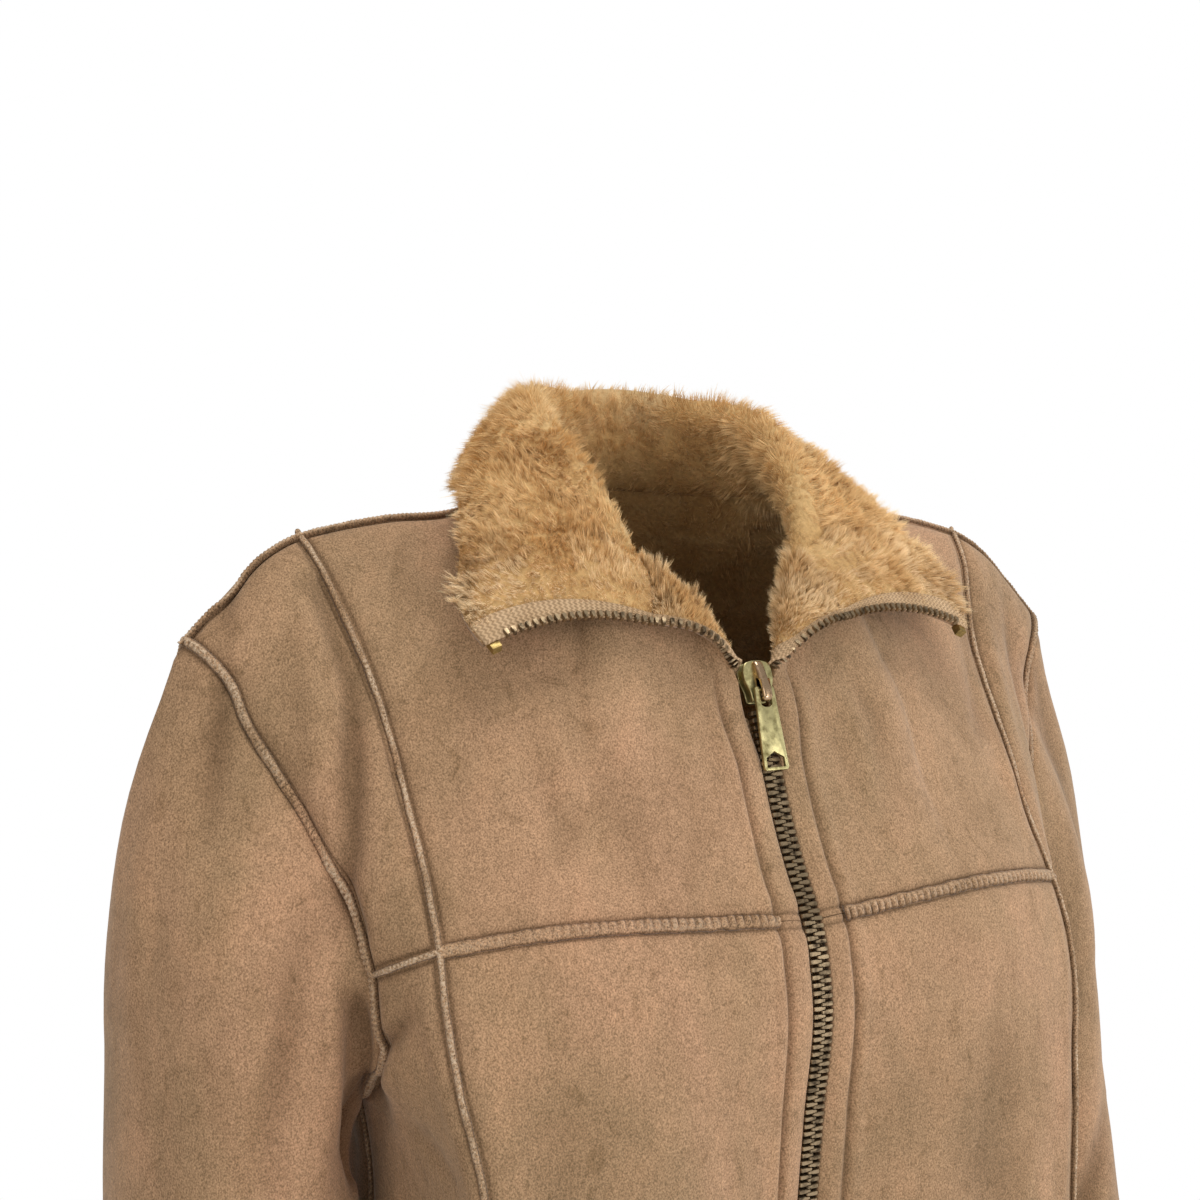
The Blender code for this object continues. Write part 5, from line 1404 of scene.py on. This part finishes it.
def add_strands(name, base, normal, comb, length, fair, count, seed):
    """Pile standing on a surface: thin blades, their roots painted dark as the shade deep in the pile,
    drawn together in tufts.

    comb is the way that they lie; fair says for each point of the grid how creamy the tips are.
    """
    chance = np.random.default_rng(seed)
    place = sample_grid(base, length / length.max(), count, chance)
    root, up, lie = read_grid(base, place), units(read_grid(normal, place)), read_grid(comb, place)
    reach = read_grid(length, place) * chance.uniform(0.78, 1.12, count)
    reach = reach * (1 + waves(root, TUFTS, 0.16))
    tuft, middles = tufts_of(root, chance)
    longer_by, turned_by, lower_by = chance.normal(0, 1, (3, len(middles)))[:, tuft]
    hollow = parted(root)
    reach = reach * np.clip(1 + 0.16 * longer_by, 0.6, 1.4) * (1 - PARTING_SHORT * hollow)
    lie = units(lie - up * (lie * up).sum(axis=1, keepdims=True))
    angle = waves(root, SWIRL, 0.8) + 0.50 * turned_by + chance.normal(0, 0.14, count)
    lean = MEAN_LEAN + waves(root, TURN, 0.30) + 0.16 * lower_by + chance.normal(0, 0.06, count)
    lean = np.clip(lean, 0.15, 1.3)
    flow = lie * np.cos(angle)[:, None] + np.cross(up, lie) * np.sin(angle)[:, None]
    first = units(up + flow * (0.45 * lean)[:, None])
    last = units(up + flow * (1.7 * lean)[:, None] + np.array([0, 0, -DROOP]))
    tips = root + (first * 0.5 + last * 0.5) * reach[:, None]
    tips = tips + (tips[middles][tuft] - tips) * chance.uniform(0.06, 0.30, count)[:, None]
    lock = chance.random(len(middles))[tuft] * 0.7 + chance.random(count) * 0.3
    fair = read_grid(fair, place) * np.clip(0.65 + waves(root, TURN, 0.55), 0, 1)
    spin = chance.uniform(0, math.pi, count)
    points = blade_points(root, root + first * (reach * 0.5)[:, None], tips, up, spin)
    start = np.arange(count)[:, None] * BLADE
    faces = (start + np.array([[0, 1, 3, 2]])).tolist() + (start + np.array([[2, 3, 4]])).tolist()
    item = add_mesh(name, points, faces, [STRANDS])
    along = np.tile(np.repeat(STRAND_SEGMENTS, (2, 2, 1)), count)
    # Painted shade in the partings: along is lowered there, which darkens the strands.
    mark(item, along=along * np.repeat(1 - PARTING_SHADE * hollow, BLADE),
         lock=np.repeat(lock, BLADE), fair=np.repeat(fair, BLADE))
    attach(item, "jacket")


def up_the_cloth(grid):
    """The direction of growing rows at each point of a grid."""
    return units(np.gradient(grid, axis=0))


PILE_ROOT = 0.0022         # from the suede to where the strands start
STRAND_LENGTH = 0.0082
FLAT_PILE = 0.0058         # short strands inside the back, by the neck
BACK_PILE_REACH = 0.11     # they reach this far down from the neck
COLLAR_STRANDS = (("left", 35000), ("back", 32000), ("right", 35000))
LAPEL_STRANDS = BACK_STRANDS = 13000


def add_pile(walls):
    """Standing strands on the collar, on the turned-out lapels, and inside the back by the neck."""
    outer, _, mean = walls["collar"]
    share = collar_pile(outer)
    last = COLLAR_PLACES - 1
    cover = np.interp(np.arange(COLLAR_PLACES), [2, 4, last - 4, last - 2], [0, 0.6, 0.6, 0])
    seam_cover = finer(np.tile(cover, (2, 1)), *share.shape)
    up = np.linspace(0, 1, share.shape[0])[:, None]
    from_left = np.linspace(0, last, share.shape[1])
    from_zip = np.minimum(from_left, from_left[::-1])[None]
    free_edge, by_zip = step_up(up, 0.80, 1.0), 1 - step_up(from_zip, 1.5, 4.5)
    length = STRAND_LENGTH * (0.25 + 0.75 * np.maximum(share, seam_cover))
    length = length * (1 + 0.12 * free_edge + 0.5 * free_edge * by_zip)
    fair = np.maximum(0.55 * free_edge, 0.55 * by_zip)
    base, comb = outer - mean * PILE_ROOT, up_the_cloth(outer)
    third = outer.shape[1] // 3
    for k, (part, count) in enumerate(COLLAR_STRANDS):
        cut = slice(k * third, (k + 1) * third + 1 if k < 2 else outer.shape[1])
        add_strands("collar_pile_" + part, base[:, cut], -mean[:, cut], comb[:, cut],
                    length[:, cut], fair[:, cut], count, 21 + k)
    rows = slice(CELLS_CHEST_UP - UP, CELLS_CHEST + 1)
    across = slice(0, CELLS_LAPEL_SEAM + 3 * ACROSS)
    share = lapel_pile(walls["front_upper_centre"][0])[rows, across]
    outer, _, mean = (face[rows, across] for face in walls["front_upper_centre"])
    for seed, (side, flip) in enumerate(SIDES, 31):
        turn = MIRRORED if flip else 1.0
        add_strands("lapel_pile_" + side, (outer - mean * PILE_ROOT) * turn, -mean * turn,
                    up_the_cloth(outer) * turn, STRAND_LENGTH * share, np.full(share.shape, 0.50),
                    LAPEL_STRANDS, seed)
    outer, inner, mean = walls["back"]
    low = np.searchsorted(outer[:, outer.shape[1] // 2, 2], -BACK_PILE_REACH)
    middle = slice(int(outer.shape[1] * 0.22), int(outer.shape[1] * 0.78))
    base, mean = inner[low:, middle], mean[low:, middle]
    length = np.full(base.shape[:2], FLAT_PILE)
    add_strands("back_pile", base, -mean, up_the_cloth(base), length, 0 * length, BACK_STRANDS, 41)


# ---------------------------------------------------------------- zip
TOOTH_PITCH = 0.0030       # from one tooth to the next of the same row
# Half a tooth's outline: out from the zip's middle, and half its height along the zip.
TOOTH_OUTLINE = ((-0.0009, 0.00050), (-0.00065, 0.00066), (0.0009, 0.00069), (0.0013, 0.00092),
                 (0.0040, 0.00097), (0.0045, 0.00082), (0.00465, 0.00050))
OPEN_SHARE = 0.54          # of a tooth's width that shows on an edge that has turned out
OPEN_SHIFT = 0.0026        # how far its teeth sit out from the zip's middle there
TOOTH_LAG = (0.0, 0.5)     # the right row sits half a tooth further on than the left
TOOTH_DEPTH = (-0.0022, 0.0006)     # from the suede's level, closed
OPEN_DEPTH = (-0.0053, -0.0027)     # on the open edges, where the teeth turn with the pile side
TAPE_TURN = 0.0030                  # from the zip's middle to the tape's corded edge, open
TAPE_SHOWN = 0.0108                 # its width past its corded edge
TAPE_NARROW = 0.0034                # the same just above the slider, where the edge stands upright
TAPE_CELLS = 20
TAPE_RIBS = 5
TAPE_THICK = 0.0008
TAPE_RIB_HEIGHT = 0.00014
TAPE_CLEAR = 0.0003        # from the pile side of the cloth to the tape
STITCH_PITCH = 0.0021      # the tape's woven stitches, along it
STITCH_SLANT = 0.50        # how far they slant within each rib, in stitches

# A place on the zip edge: its point, the ways to the side and out, and the cloth's two faces there.
Edge = namedtuple("Edge", "point side out pile suede")
BRIDGE_FOOT = 1.06         # the bridge's lower end, in half heights of the slider
PIN_DROP = 0.0042          # the pin, below the slider's middle
PIN_REACH = 0.0047         # and in front of the zip's middle
PULL_LEAN = math.radians(2.6)
NOTCH_DEPTH = 0.0084       # the gap between the pull's two arms
NOTCH_ROUND = 0.0012
NOTCH_WIDTH = BRIDGE_WIDTH + 0.0009
ARM_ABOVE_PIN = 0.0013     # the ends of the arms, above the pin
HOLE_WIDTH = 0.0088        # the house-shaped hole
HOLE_HEIGHT = 0.0063
HOLE_RIM = 0.0013          # from the pull's lower end to the hole
PIN_RADIUS = 0.0009


def metal_material(name, bright, dark, roughness, worn):
    """Brass in random patches: bright as where it is rubbed, and dull and brown as in its hollows."""
    s = Shader(name, roughness=roughness, metallic=1.0)
    broad = s.grey(s.noise(260, 4, 0.6), 0.30, 0.70)
    fine = s.noise(2600, roughness=0.6)
    tone = s.ramp(broad, [(0.0, dark), (worn, bright), (1.0, tuple(min(1.0, c * 1.12) for c in bright))])
    tone = s.tint(0.35, tone, s.grey(fine, 0.3, 0.7), (0.7, 0.68, 0.62), (1.1, 1.1, 1.1))
    rough = s.made("ShaderNodeMapRange", {"Value": broad, "To Min": roughness * 1.5,
                                          "To Max": roughness * 0.75}, "Result")
    s.feed(Base_Color=tone, Roughness=rough)
    s.bumps((fine, 0.12, 0.0001))
    return s.material


def tape_material():
    """Woven zip tape: slanting stitches in rows, fairer at their crowns."""
    s = Shader("zip_tape", roughness=0.85)
    s.set(Specular_IOR_Level=0.2)
    weave = s.wave("stitch")
    fuzz = s.grey(s.noise(900, roughness=0.6), 0.30, 0.70)
    tone = s.ramp(s.grey(s.noise(60), 0.35, 0.65),
                  [(0.0, (0.450, 0.300, 0.170)), (1.0, (0.540, 0.375, 0.225))])
    tone = s.tint(0.70, tone, s.grey(weave, -1.0, 0.6), (0.60, 0.56, 0.50), (1.22, 1.22, 1.22))
    tone = s.tint(0.5, tone, fuzz, (0.82, 0.80, 0.77), (1.15, 1.15, 1.15))
    s.feed(Base_Color=tone)
    s.bumps((weave, 0.6, 0.0003), (fuzz, 0.4, 0.0002))
    return s.material


ANTIQUE = metal_material("antique_brass", (0.33, 0.245, 0.150), (0.050, 0.034, 0.020), 0.44, 0.62)
DULL = metal_material("dull_brass", (0.40, 0.290, 0.110), (0.150, 0.098, 0.036), 0.50, 0.60)
POLISHED = metal_material("polished_brass", (0.60, 0.530, 0.265), (0.19, 0.155, 0.060), 0.34, 0.60)
# Brass tinted towards the suede's pinkish brown: a painted reflection of the cloth round the slider's
# bridge.
BRASS_PAINTED_REFLECTION = metal_material("brass_painted_reflection", (0.50, 0.345, 0.215), (0.20, 0.120, 0.060), 0.26, 0.45)
TAPE = tape_material()


def slider_frame():
    """Where the slider sits: its middle, and the slope of the chest there."""
    low, high = np.array(ZIP_LINE[-3]), np.array(ZIP_LINE[-1])
    slope = math.atan2(high[1] - low[1], high[2] - low[2])
    return Matrix.Translation((0.0, high[1], high[2])) @ Matrix.Rotation(-slope, 4, "X")


def slider_foot():
    """The height of the slider's lower end."""
    return ZIP_LINE[-1].z - SLIDER_HEIGHT / 2 * BRIDGE_FOOT


def zip_edge(walls):
    """The left zip edge from hem to collar corner: one Edge for each row of the cloth."""
    rows = []
    for outer, inner, _ in walls:
        for suede, pile in zip(outer, inner):
            if not rows or np.linalg.norm(suede[0] - rows[-1][0][0]) > 2 * SEAM_GAP:
                rows.append((suede, pile))
    edges = []
    for k, (suede, pile) in enumerate(rows):
        along = units(rows[min(k + 2, len(rows) - 1)][0][0] - rows[max(k - 2, 0)][0][0])
        out = units(suede[0] - pile[0])
        edges.append(Edge(suede[0], units(np.cross(along, out)), out, pile, suede))
    return edges


def openness(point):
    """0 on the closed zip, rising to 1 where an edge has turned out above the slider."""
    return step_up(point[2], ZIP_LINE[-1].z + 0.004, ZIP_LINE[-1].z + 0.016)


def add_tape(side, flip, edges):
    """The woven tape: corded at the teeth, and sewn down on the pile side of the cloth."""
    rows = []
    for edge in edges:
        free = openness(edge.point)
        low = edge.point[2] < slider_foot() - 0.004
        reach = edge.point[0] - (TAPE_BEAD if low else SLIDER_WIDTH / 2 + 0.0006)
        reach = min(reach, ZIP_EDGE - TAPE_BEAD) * (1 - free) + (ZIP_EDGE - TAPE_TURN) * free
        run = run_length(edge.pile)
        past = np.linalg.norm(np.array(edge.point) - np.array(ZIP_LINE[-1]))
        turned_out = 1 - free * (1 - step_up(past, 0.030, 0.112))
        shown = TAPE_NARROW + (TAPE_SHOWN - TAPE_NARROW) * turned_out
        line = []
        for place in np.linspace(-reach, shown - reach, TAPE_CELLS + 1):
            if place <= 0:
                deep = CLOTH + TAPE_CLEAR - 0.0006 * free * min(1.0, -place / 0.002)
                line.append(edge.point + edge.side * place - edge.out * deep)
            else:
                pile, suede = (read_line(face, run, place) for face in (edge.pile, edge.suede))
                line.append(pile + units(pile - suede) * TAPE_CLEAR)
        rows.append(line)
    front = np.array(rows)
    ribs = np.cos(np.linspace(0, 2 * math.pi * TAPE_RIBS, TAPE_CELLS + 1))[None, :, None]
    back = front - grid_normals(front) * (TAPE_THICK + TAPE_RIB_HEIGHT * ribs)
    points = np.concatenate([front.reshape(-1, 3), back.reshape(-1, 3)])
    faces, _ = shell_faces(*front.shape[:2], False)
    if flip:
        points, faces = points * MIRRORED, faces[:, ::-1]
    item = add_mesh("tape_" + side, points, faces, [TAPE])
    run = run_length(front[:, 0])[:, None] / STITCH_PITCH
    slant = STITCH_SLANT * np.abs(((np.linspace(0, TAPE_RIBS, TAPE_CELLS + 1) + 0.5) % 1.0) * 2 - 1)
    mark(item, stitch=np.tile((run + slant[None]).ravel(), 2))
    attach(item, "jacket")
    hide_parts("zip_tape_" + side)


def tooth():
    """One tooth in (out from the middle, along the zip, depth 0 to 1): points and faces."""
    outline = np.array(TOOTH_OUTLINE + tuple((a, -b) for a, b in reversed(TOOTH_OUTLINE)))
    shrunk = outline * np.array([1, 0.80]) + (np.array([0.0018, 0]) - outline) * np.array([0.09, 0])
    count = len(outline)
    points = np.concatenate([np.c_[flat, np.full(count, depth)]
                             for flat, depth in ((outline, 0.0), (outline, 0.82), (shrunk, 1.0))])
    faces = []
    for low, high in ((0, count), (count, 2 * count)):
        for k in range(count):
            n = (k + 1) % count
            faces.append((low + k, low + n, high + n, high + k))
    return points, faces + [tuple(range(2 * count, 3 * count)), tuple(reversed(range(count)))]


def set_teeth(name, frames, depths, node, flip, turned):
    """Teeth on frames (edge of the cloth or its middle line, side, out, along).

    Where the row has turned out, its teeth show their other face.
    """
    shape, faces = tooth()
    if turned:
        shape = shape * np.array([OPEN_SHARE, 1.0, 1.0]) + np.array([OPEN_SHIFT, 0, 0])
    points, all_faces = [], []
    for (middle, side, out, along), (low, high) in zip(frames, depths):
        start, end = (high, low) if turned else (low, high)
        level = start + (end - start) * shape[:, 2]
        first = len(points) * len(shape)
        points.append(middle + np.outer(shape[:, 0], side) + np.outer(shape[:, 1], along)
                      + np.outer(level, out))
        all_faces += [tuple(k + first for k in face) for face in faces]
    points = np.concatenate(points) * (MIRRORED if flip else 1.0)
    item = add_mesh(name, points, all_faces, [ANTIQUE])
    bm = bmesh.new()
    bm.from_mesh(item.data)
    bmesh.ops.recalc_face_normals(bm, faces=bm.faces)
    bm.to_mesh(item.data)
    bm.free()
    shade(item.data, smooth=False)
    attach(item, "jacket")
    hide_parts(node)


def frames_along(points, sides, outs, first, last):
    """Frames one tooth apart along a line, between two lengths."""
    run = run_length(points)
    frames = []
    for r in np.arange(first, min(last, run[-1]), TOOTH_PITCH):
        middle, side, out = (read_line(part, run, r) for part in (points, sides, outs))
        along = units(read_line(points, run, r + 0.001) - read_line(points, run, r - 0.001))
        frames.append((middle, units(side - along * (side @ along)), units(out), along))
    return frames


def add_teeth(edges):
    """Closed teeth from the box to the slider, and the two open rows above it."""
    points, sides, outs = (np.array([getattr(edge, part) for edge in edges])
                           for part in ("point", "side", "out"))
    middle = points[points[:, 2] < slider_foot() + 0.001] * np.array([0, 1, 1])
    slope = units(np.gradient(middle, axis=0))
    out = np.stack([np.zeros(len(middle)), -slope[:, 2], slope[:, 1]], axis=1)
    right = np.tile([1.0, 0.0, 0.0], (len(middle), 1))
    last = run_length(middle)[-1] - 0.0006
    for (side, flip), lag in zip(SIDES, TOOTH_LAG):
        frames = frames_along(middle, right, out, BOX_HEIGHT + TOOTH_PITCH * (0.4 + lag), last)
        set_teeth("closed_teeth_" + side, frames, [TOOTH_DEPTH] * len(frames), "zip_chain", flip, False)
    first = int(np.argmin(np.linalg.norm(points - np.array(ZIP_LINE[-1]), axis=1)))
    sides, outs = sides[first:], outs[first:]
    open_line = points[first:] - sides * ZIP_EDGE
    last = run_length(open_line)[-1] - STOP_MARGIN - STOP_LENGTH - 0.0012
    for (side, flip), lag in zip(SIDES, TOOTH_LAG):
        frames = frames_along(open_line, sides, outs, SLIDER_HEIGHT * 0.52 + TOOTH_PITCH * lag, last)
        depths = []
        for place, *_ in frames:
            free = openness(place)
            depths.append([a * (1 - free) + b * free for a, b in zip(TOOTH_DEPTH, OPEN_DEPTH)])
        set_teeth("open_teeth_" + side, frames, depths, "zip_teeth_" + side, flip, True)


def rounded_plate(outlines, thickness, bevel, turn, name):
    """A flat plate from outlines with holes, its edges rounded, turned into place."""
    curve = bpy.data.curves.new(name, "CURVE")
    curve.dimensions = "2D"
    curve.fill_mode = "BOTH"
    curve.extrude = thickness / 2 - bevel
    curve.bevel_depth = bevel
    curve.bevel_resolution = 2
    curve.offset = -bevel
    for outline in outlines:
        line = curve.splines.new("POLY")
        line.points.add(len(outline) - 1)
        for point, (x, y) in zip(line.points, outline):
            point.co = (x, y, 0.0, 1.0)
        line.use_cyclic_u = True
    item = linked(name, curve)
    bpy.context.view_layer.update()
    mesh = bpy.data.meshes.new_from_object(item.evaluated_get(bpy.context.evaluated_depsgraph_get()))
    bpy.data.objects.remove(item)
    bm = bmesh.new()
    bm.from_mesh(mesh)
    bmesh.ops.remove_doubles(bm, verts=bm.verts, dist=2e-6)
    bmesh.ops.transform(bm, matrix=turn, verts=bm.verts)
    bmesh.ops.recalc_face_normals(bm, faces=bm.faces)
    bm.to_mesh(mesh)
    bm.free()
    return mesh


def as_one(name, meshes, material, body, node):
    """Meshes joined into one shown piece."""
    bm = bmesh.new()
    for mesh in meshes:
        bm.from_mesh(mesh)
    joined = mesh_from(bm, name)
    joined.materials.append(material)
    shade(joined, smooth=True)
    joined.set_sharp_from_angle(angle=math.radians(35))
    item = linked(name, joined)
    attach(item, body)
    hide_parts(node)


CORNER_ROUND = 0.0016      # length cut from each side of a corner
CORNER_SHARE = 0.42        # but no more than this share of the side
FACING = Matrix.Rotation(math.pi / 2, 4, "X")                       # outline x, y to X, Z
SIDEWAYS = Matrix(((0, 0, 1, 0), (1, 0, 0, 0), (0, 1, 0, 0), (0, 0, 0, 1)))  # to Y, Z


def smooth_outline(corners, steps=5):
    """A closed outline with every corner rounded."""
    corners = np.array(corners, float)
    out = []
    for k in range(len(corners)):
        a, b, c = corners[k - 1], corners[k], corners[(k + 1) % len(corners)]
        cut = min([CORNER_ROUND] + [CORNER_SHARE * np.linalg.norm(side) for side in (b - a, c - b)])
        start, end = b + units(a - b) * cut, b + units(c - b) * cut
        out += [tuple(bow(t, start, b, end)) for t in np.linspace(0, 1, steps)]
    return out


def both_halves(right):
    """A closed outline from its right half, listed from the top down."""
    return right + [(-x, y) for x, y in reversed(right)]


# Outlines in shares of the slider's half width and half height; the post's x is in metres.
SLIDER_SHAPE = ((0.35, 1), (0.80, 0.90), (1, 0.60), (1, 0.05), (0.74, -0.45), (0.70, -1))
POST_SHAPE = ((0.0016, 0.92), (0.0022, 0.2), (0, -0.1), (-0.0022, 0.2), (-0.0016, 0.92))
RAIL_SHAPE = ((0.98, 0.50), (0.98, 0.02), (0.70, -0.50), (0.67, -0.96), (0.56, -0.96),
              (0.60, -0.45), (0.84, 0.02), (0.84, 0.50))
PLATE_THICK = 0.0014
BRIDGE_ROOT = 0.0006       # how far the bridge sinks into the front plate
BRIDGE_BEAM = 0.0019       # the thickness of its bar


def add_slider():
    """Two shouldered plates, the posts between them, and the rounded bridge."""
    w, h = SLIDER_WIDTH / 2, SLIDER_HEIGHT / 2
    seat = slider_frame()

    def facing(depth):
        """An outline's place, facing the front, this far behind the zip's middle."""
        return seat @ Matrix.Translation((0, depth, 0)) @ FACING

    shoulders = [(w * x, h * z) for x, z in SLIDER_SHAPE]
    outline = smooth_outline(both_halves(shoulders))
    meshes = [rounded_plate([outline], PLATE_THICK, 0.0004, facing(depth), "plate")
              for depth in (PLATE_THICK / 2 - SLIDER_FRONT, SLIDER_BACK - PLATE_THICK / 2)]
    post = smooth_outline([(x, h * z) for x, z in POST_SHAPE])
    meshes.append(rounded_plate([post], SLIDER_FRONT + SLIDER_BACK - 0.001, 0.0002, facing(0), "post"))
    for sign in (-1, 1):
        rail = [(sign * w * x, h * z) for x, z in RAIL_SHAPE]
        meshes.append(rounded_plate([rail[::sign]], PLATE_THICK, 0.0001,
                                    facing(PLATE_THICK - SLIDER_FRONT), "rail"))
    as_one("slider", meshes, POLISHED, "jacket", "zip_slider")
    root, reach = BRIDGE_ROOT - SLIDER_FRONT, -BRIDGE_REACH
    arch = [(root, h * 0.96), (-BRIDGE_HEAD + 0.0010, h * 0.94), (-BRIDGE_HEAD, h * 0.76),
            (reach, -h * 0.40), (reach, -h * 0.88), (reach + 0.0012, -h * BRIDGE_FOOT), (root, -h * 0.99)]
    window = [(root - 0.0008, 0.0), (reach + BRIDGE_BEAM, -h * 0.10), (reach + BRIDGE_BEAM, -h * 0.74),
              (root - 0.0008, -h * 0.80)]
    bridge = rounded_plate([smooth_outline(arch), window], BRIDGE_WIDTH, 0.0012, seat @ SIDEWAYS, "bridge")
    # The bridge's brass carries a painted reflection of the suede.
    as_one("slider_bridge", [bridge], BRASS_PAINTED_REFLECTION, "jacket", "zip_slider")


def add_pull():
    """The pull tab: a notched plate with a house-shaped hole, its face bare, and its pin."""
    top, low = PULL_TOP_WIDTH / 2, PULL_WIDTH / 2
    end, notch, bottom = ARM_ABOVE_PIN - PULL_LENGTH, NOTCH_WIDTH / 2, ARM_ABOVE_PIN - NOTCH_DEPTH
    right = [(notch, ARM_ABOVE_PIN), (top - 0.0006, ARM_ABOVE_PIN), (top, ARM_ABOVE_PIN - 0.0008),
             (low, end + 0.0010), (low - 0.0008, end)]
    arc = [(-notch * math.cos(a), bottom + NOTCH_ROUND * (1 - math.sin(a)))
           for a in np.linspace(0, math.pi, 9)]
    wide, sill = HOLE_WIDTH / 2, end + HOLE_RIM
    eaves = sill + HOLE_HEIGHT * 0.6
    hole = [(-wide, sill), (wide, sill), (wide, eaves), (0, sill + HOLE_HEIGHT), (-wide, eaves)]
    seat = (slider_frame() @ Matrix.Translation((0, -PIN_REACH, -PIN_DROP))
            @ Matrix.Rotation(PULL_LEAN, 4, "X"))
    plate = rounded_plate([both_halves(right) + arc, hole], PULL_DEPTH, 0.00025, seat @ FACING, "plate")
    shape = bmesh.new()
    bmesh.ops.create_cone(shape, cap_ends=True, segments=24, radius1=PIN_RADIUS, radius2=PIN_RADIUS,
                          depth=NOTCH_WIDTH + 0.0016, matrix=seat @ Matrix.Rotation(math.pi / 2, 4, "Y"))
    as_one("pull", [plate, mesh_from(shape, "pin")], POLISHED, "pull", "zip_pull")


def dress(node, material):
    """A better material on a solid whose shape is right."""
    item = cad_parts[node]
    item.data.materials.clear()
    item.data.materials.append(material)


def add_zip(walls):
    """The tapes, teeth, slider and pull, and brass for the box and the top stops."""
    edges = zip_edge([[face[:, :3 * ACROSS + 1] for face in walls[name]]
                      for name in ("front_lower_centre", "front_upper_centre", "collar")])
    for side, flip in SIDES:
        add_tape(side, flip, edges)
    add_teeth(edges)
    add_slider()
    add_pull()
    for node in ("zip_box", "zip_top_stop_left", "zip_top_stop_right"):
        dress(node, DULL)


# ---------------------------------------------------------------- floor, light and camera
CAMERA_AT = (-0.4508, -0.7031, -0.0996)
CAMERA_YAW, CAMERA_PITCH, CAMERA_ROLL = (math.radians(a) for a in (30.95, -2.14, -2.5))
LENS, SENSOR = 57.06, 36.0 # mm
FLOOR_DROP = 0.015         # hem to floor
FLOOR_RADIUS = 1.05
WORLD_TINT, WORLD_GLOW = (1.0, 0.985, 0.96), 0.42
# Where each soft lamp stands, what it points at, its width in metres, and its watts.
Lamp = namedtuple("Lamp", "name where at size power colour")
LAMPS = [
    Lamp("key", (1.1, -2.4, 0.05), (0.0, 0.0, -0.3), 1.2, 10, (1.0, 0.99, 0.98)),
    Lamp("low", (0.4, -1.5, -0.85), (0.0, 0.0, -0.50), 0.6, 12, (0.97, 0.98, 1.0)),
    Lamp("side", (-2.0, -1.2, 0.20), (0.0, 0.0, -0.3), 1.0, 11, (1.0, 0.97, 0.93)),
    Lamp("far_side", (1.9, -0.7, -0.35), (0.0, 0.0, -0.3), 1.0, 13, (0.86, 0.93, 1.0)),
    Lamp("top", (0.0, -0.4, 1.7), (0.0, 0.0, -0.1), 1.0, 21, WHITE),
]


def add_camera():
    data = bpy.data.cameras.new("camera")
    data.lens, data.sensor_width, data.clip_start = LENS, SENSOR, 0.01
    level, tilt = math.cos(CAMERA_PITCH), -math.sin(CAMERA_PITCH)
    forward = Vector((math.sin(CAMERA_YAW) * level, math.cos(CAMERA_YAW) * level, tilt))
    right = Vector((math.cos(CAMERA_YAW), -math.sin(CAMERA_YAW), 0.0))
    rolled = math.cos(CAMERA_ROLL) * right + math.sin(CAMERA_ROLL) * right.cross(forward)
    turn = Matrix((rolled, rolled.cross(forward), -forward)).transposed().to_4x4()
    camera = linked("camera", data)
    camera.matrix_world = Matrix.Translation(CAMERA_AT) @ turn
    bpy.context.scene.camera = camera


def add_floor():
    shape = bmesh.new()
    bmesh.ops.create_circle(shape, cap_ends=True, segments=128, radius=FLOOR_RADIUS)
    floor = linked("floor", mesh_from(shape, "floor"))
    floor.location = (0.0, 0.0, -BODY_LENGTH - FLOOR_DROP)
    shader = Shader("floor", roughness=0.9)
    shader.feed(Base_Color=shader.ramp(shader.noise(6), [(0.0, (0.86,) * 3), (1.0, (0.90,) * 3)]))
    floor.data.materials.append(shader.material)


def add_lamp(lamp):
    data = bpy.data.lights.new(lamp.name, "AREA")
    data.size, data.energy, data.color = lamp.size, lamp.power, lamp.colour
    light = linked(lamp.name, data)
    light.location = lamp.where
    light.rotation_euler = (Vector(lamp.at) - Vector(lamp.where)).to_track_quat("-Z", "Y").to_euler()


def add_light():
    """A world that is white to the camera and soft as light, and the lamps."""
    world = bpy.data.worlds.new("studio")
    world.use_nodes = True
    tree = world.node_tree
    glow, seen = tree.nodes["Background"], tree.nodes.new("ShaderNodeBackground")
    for background, colour, strength in ((glow, WORLD_TINT, WORLD_GLOW), (seen, WHITE, 1.0)):
        background.inputs["Color"].default_value = (*colour, 1.0)
        background.inputs["Strength"].default_value = strength
    rays, mix = tree.nodes.new("ShaderNodeLightPath"), tree.nodes.new("ShaderNodeMixShader")
    for k, output in enumerate((rays.outputs["Is Camera Ray"], glow.outputs[0], seen.outputs[0])):
        tree.links.new(output, mix.inputs[k])
    tree.links.new(mix.outputs[0], tree.nodes["World Output"].inputs["Surface"])
    bpy.context.scene.world = world
    for lamp in LAMPS:
        add_lamp(lamp)
    bpy.context.scene.view_settings.view_transform = "Standard"


seams, seam_normals, walls = build_cloth()
add_seams(seams, seam_normals)
add_pile(walls)
add_zip(walls)
add_camera()
add_floor()
add_light()
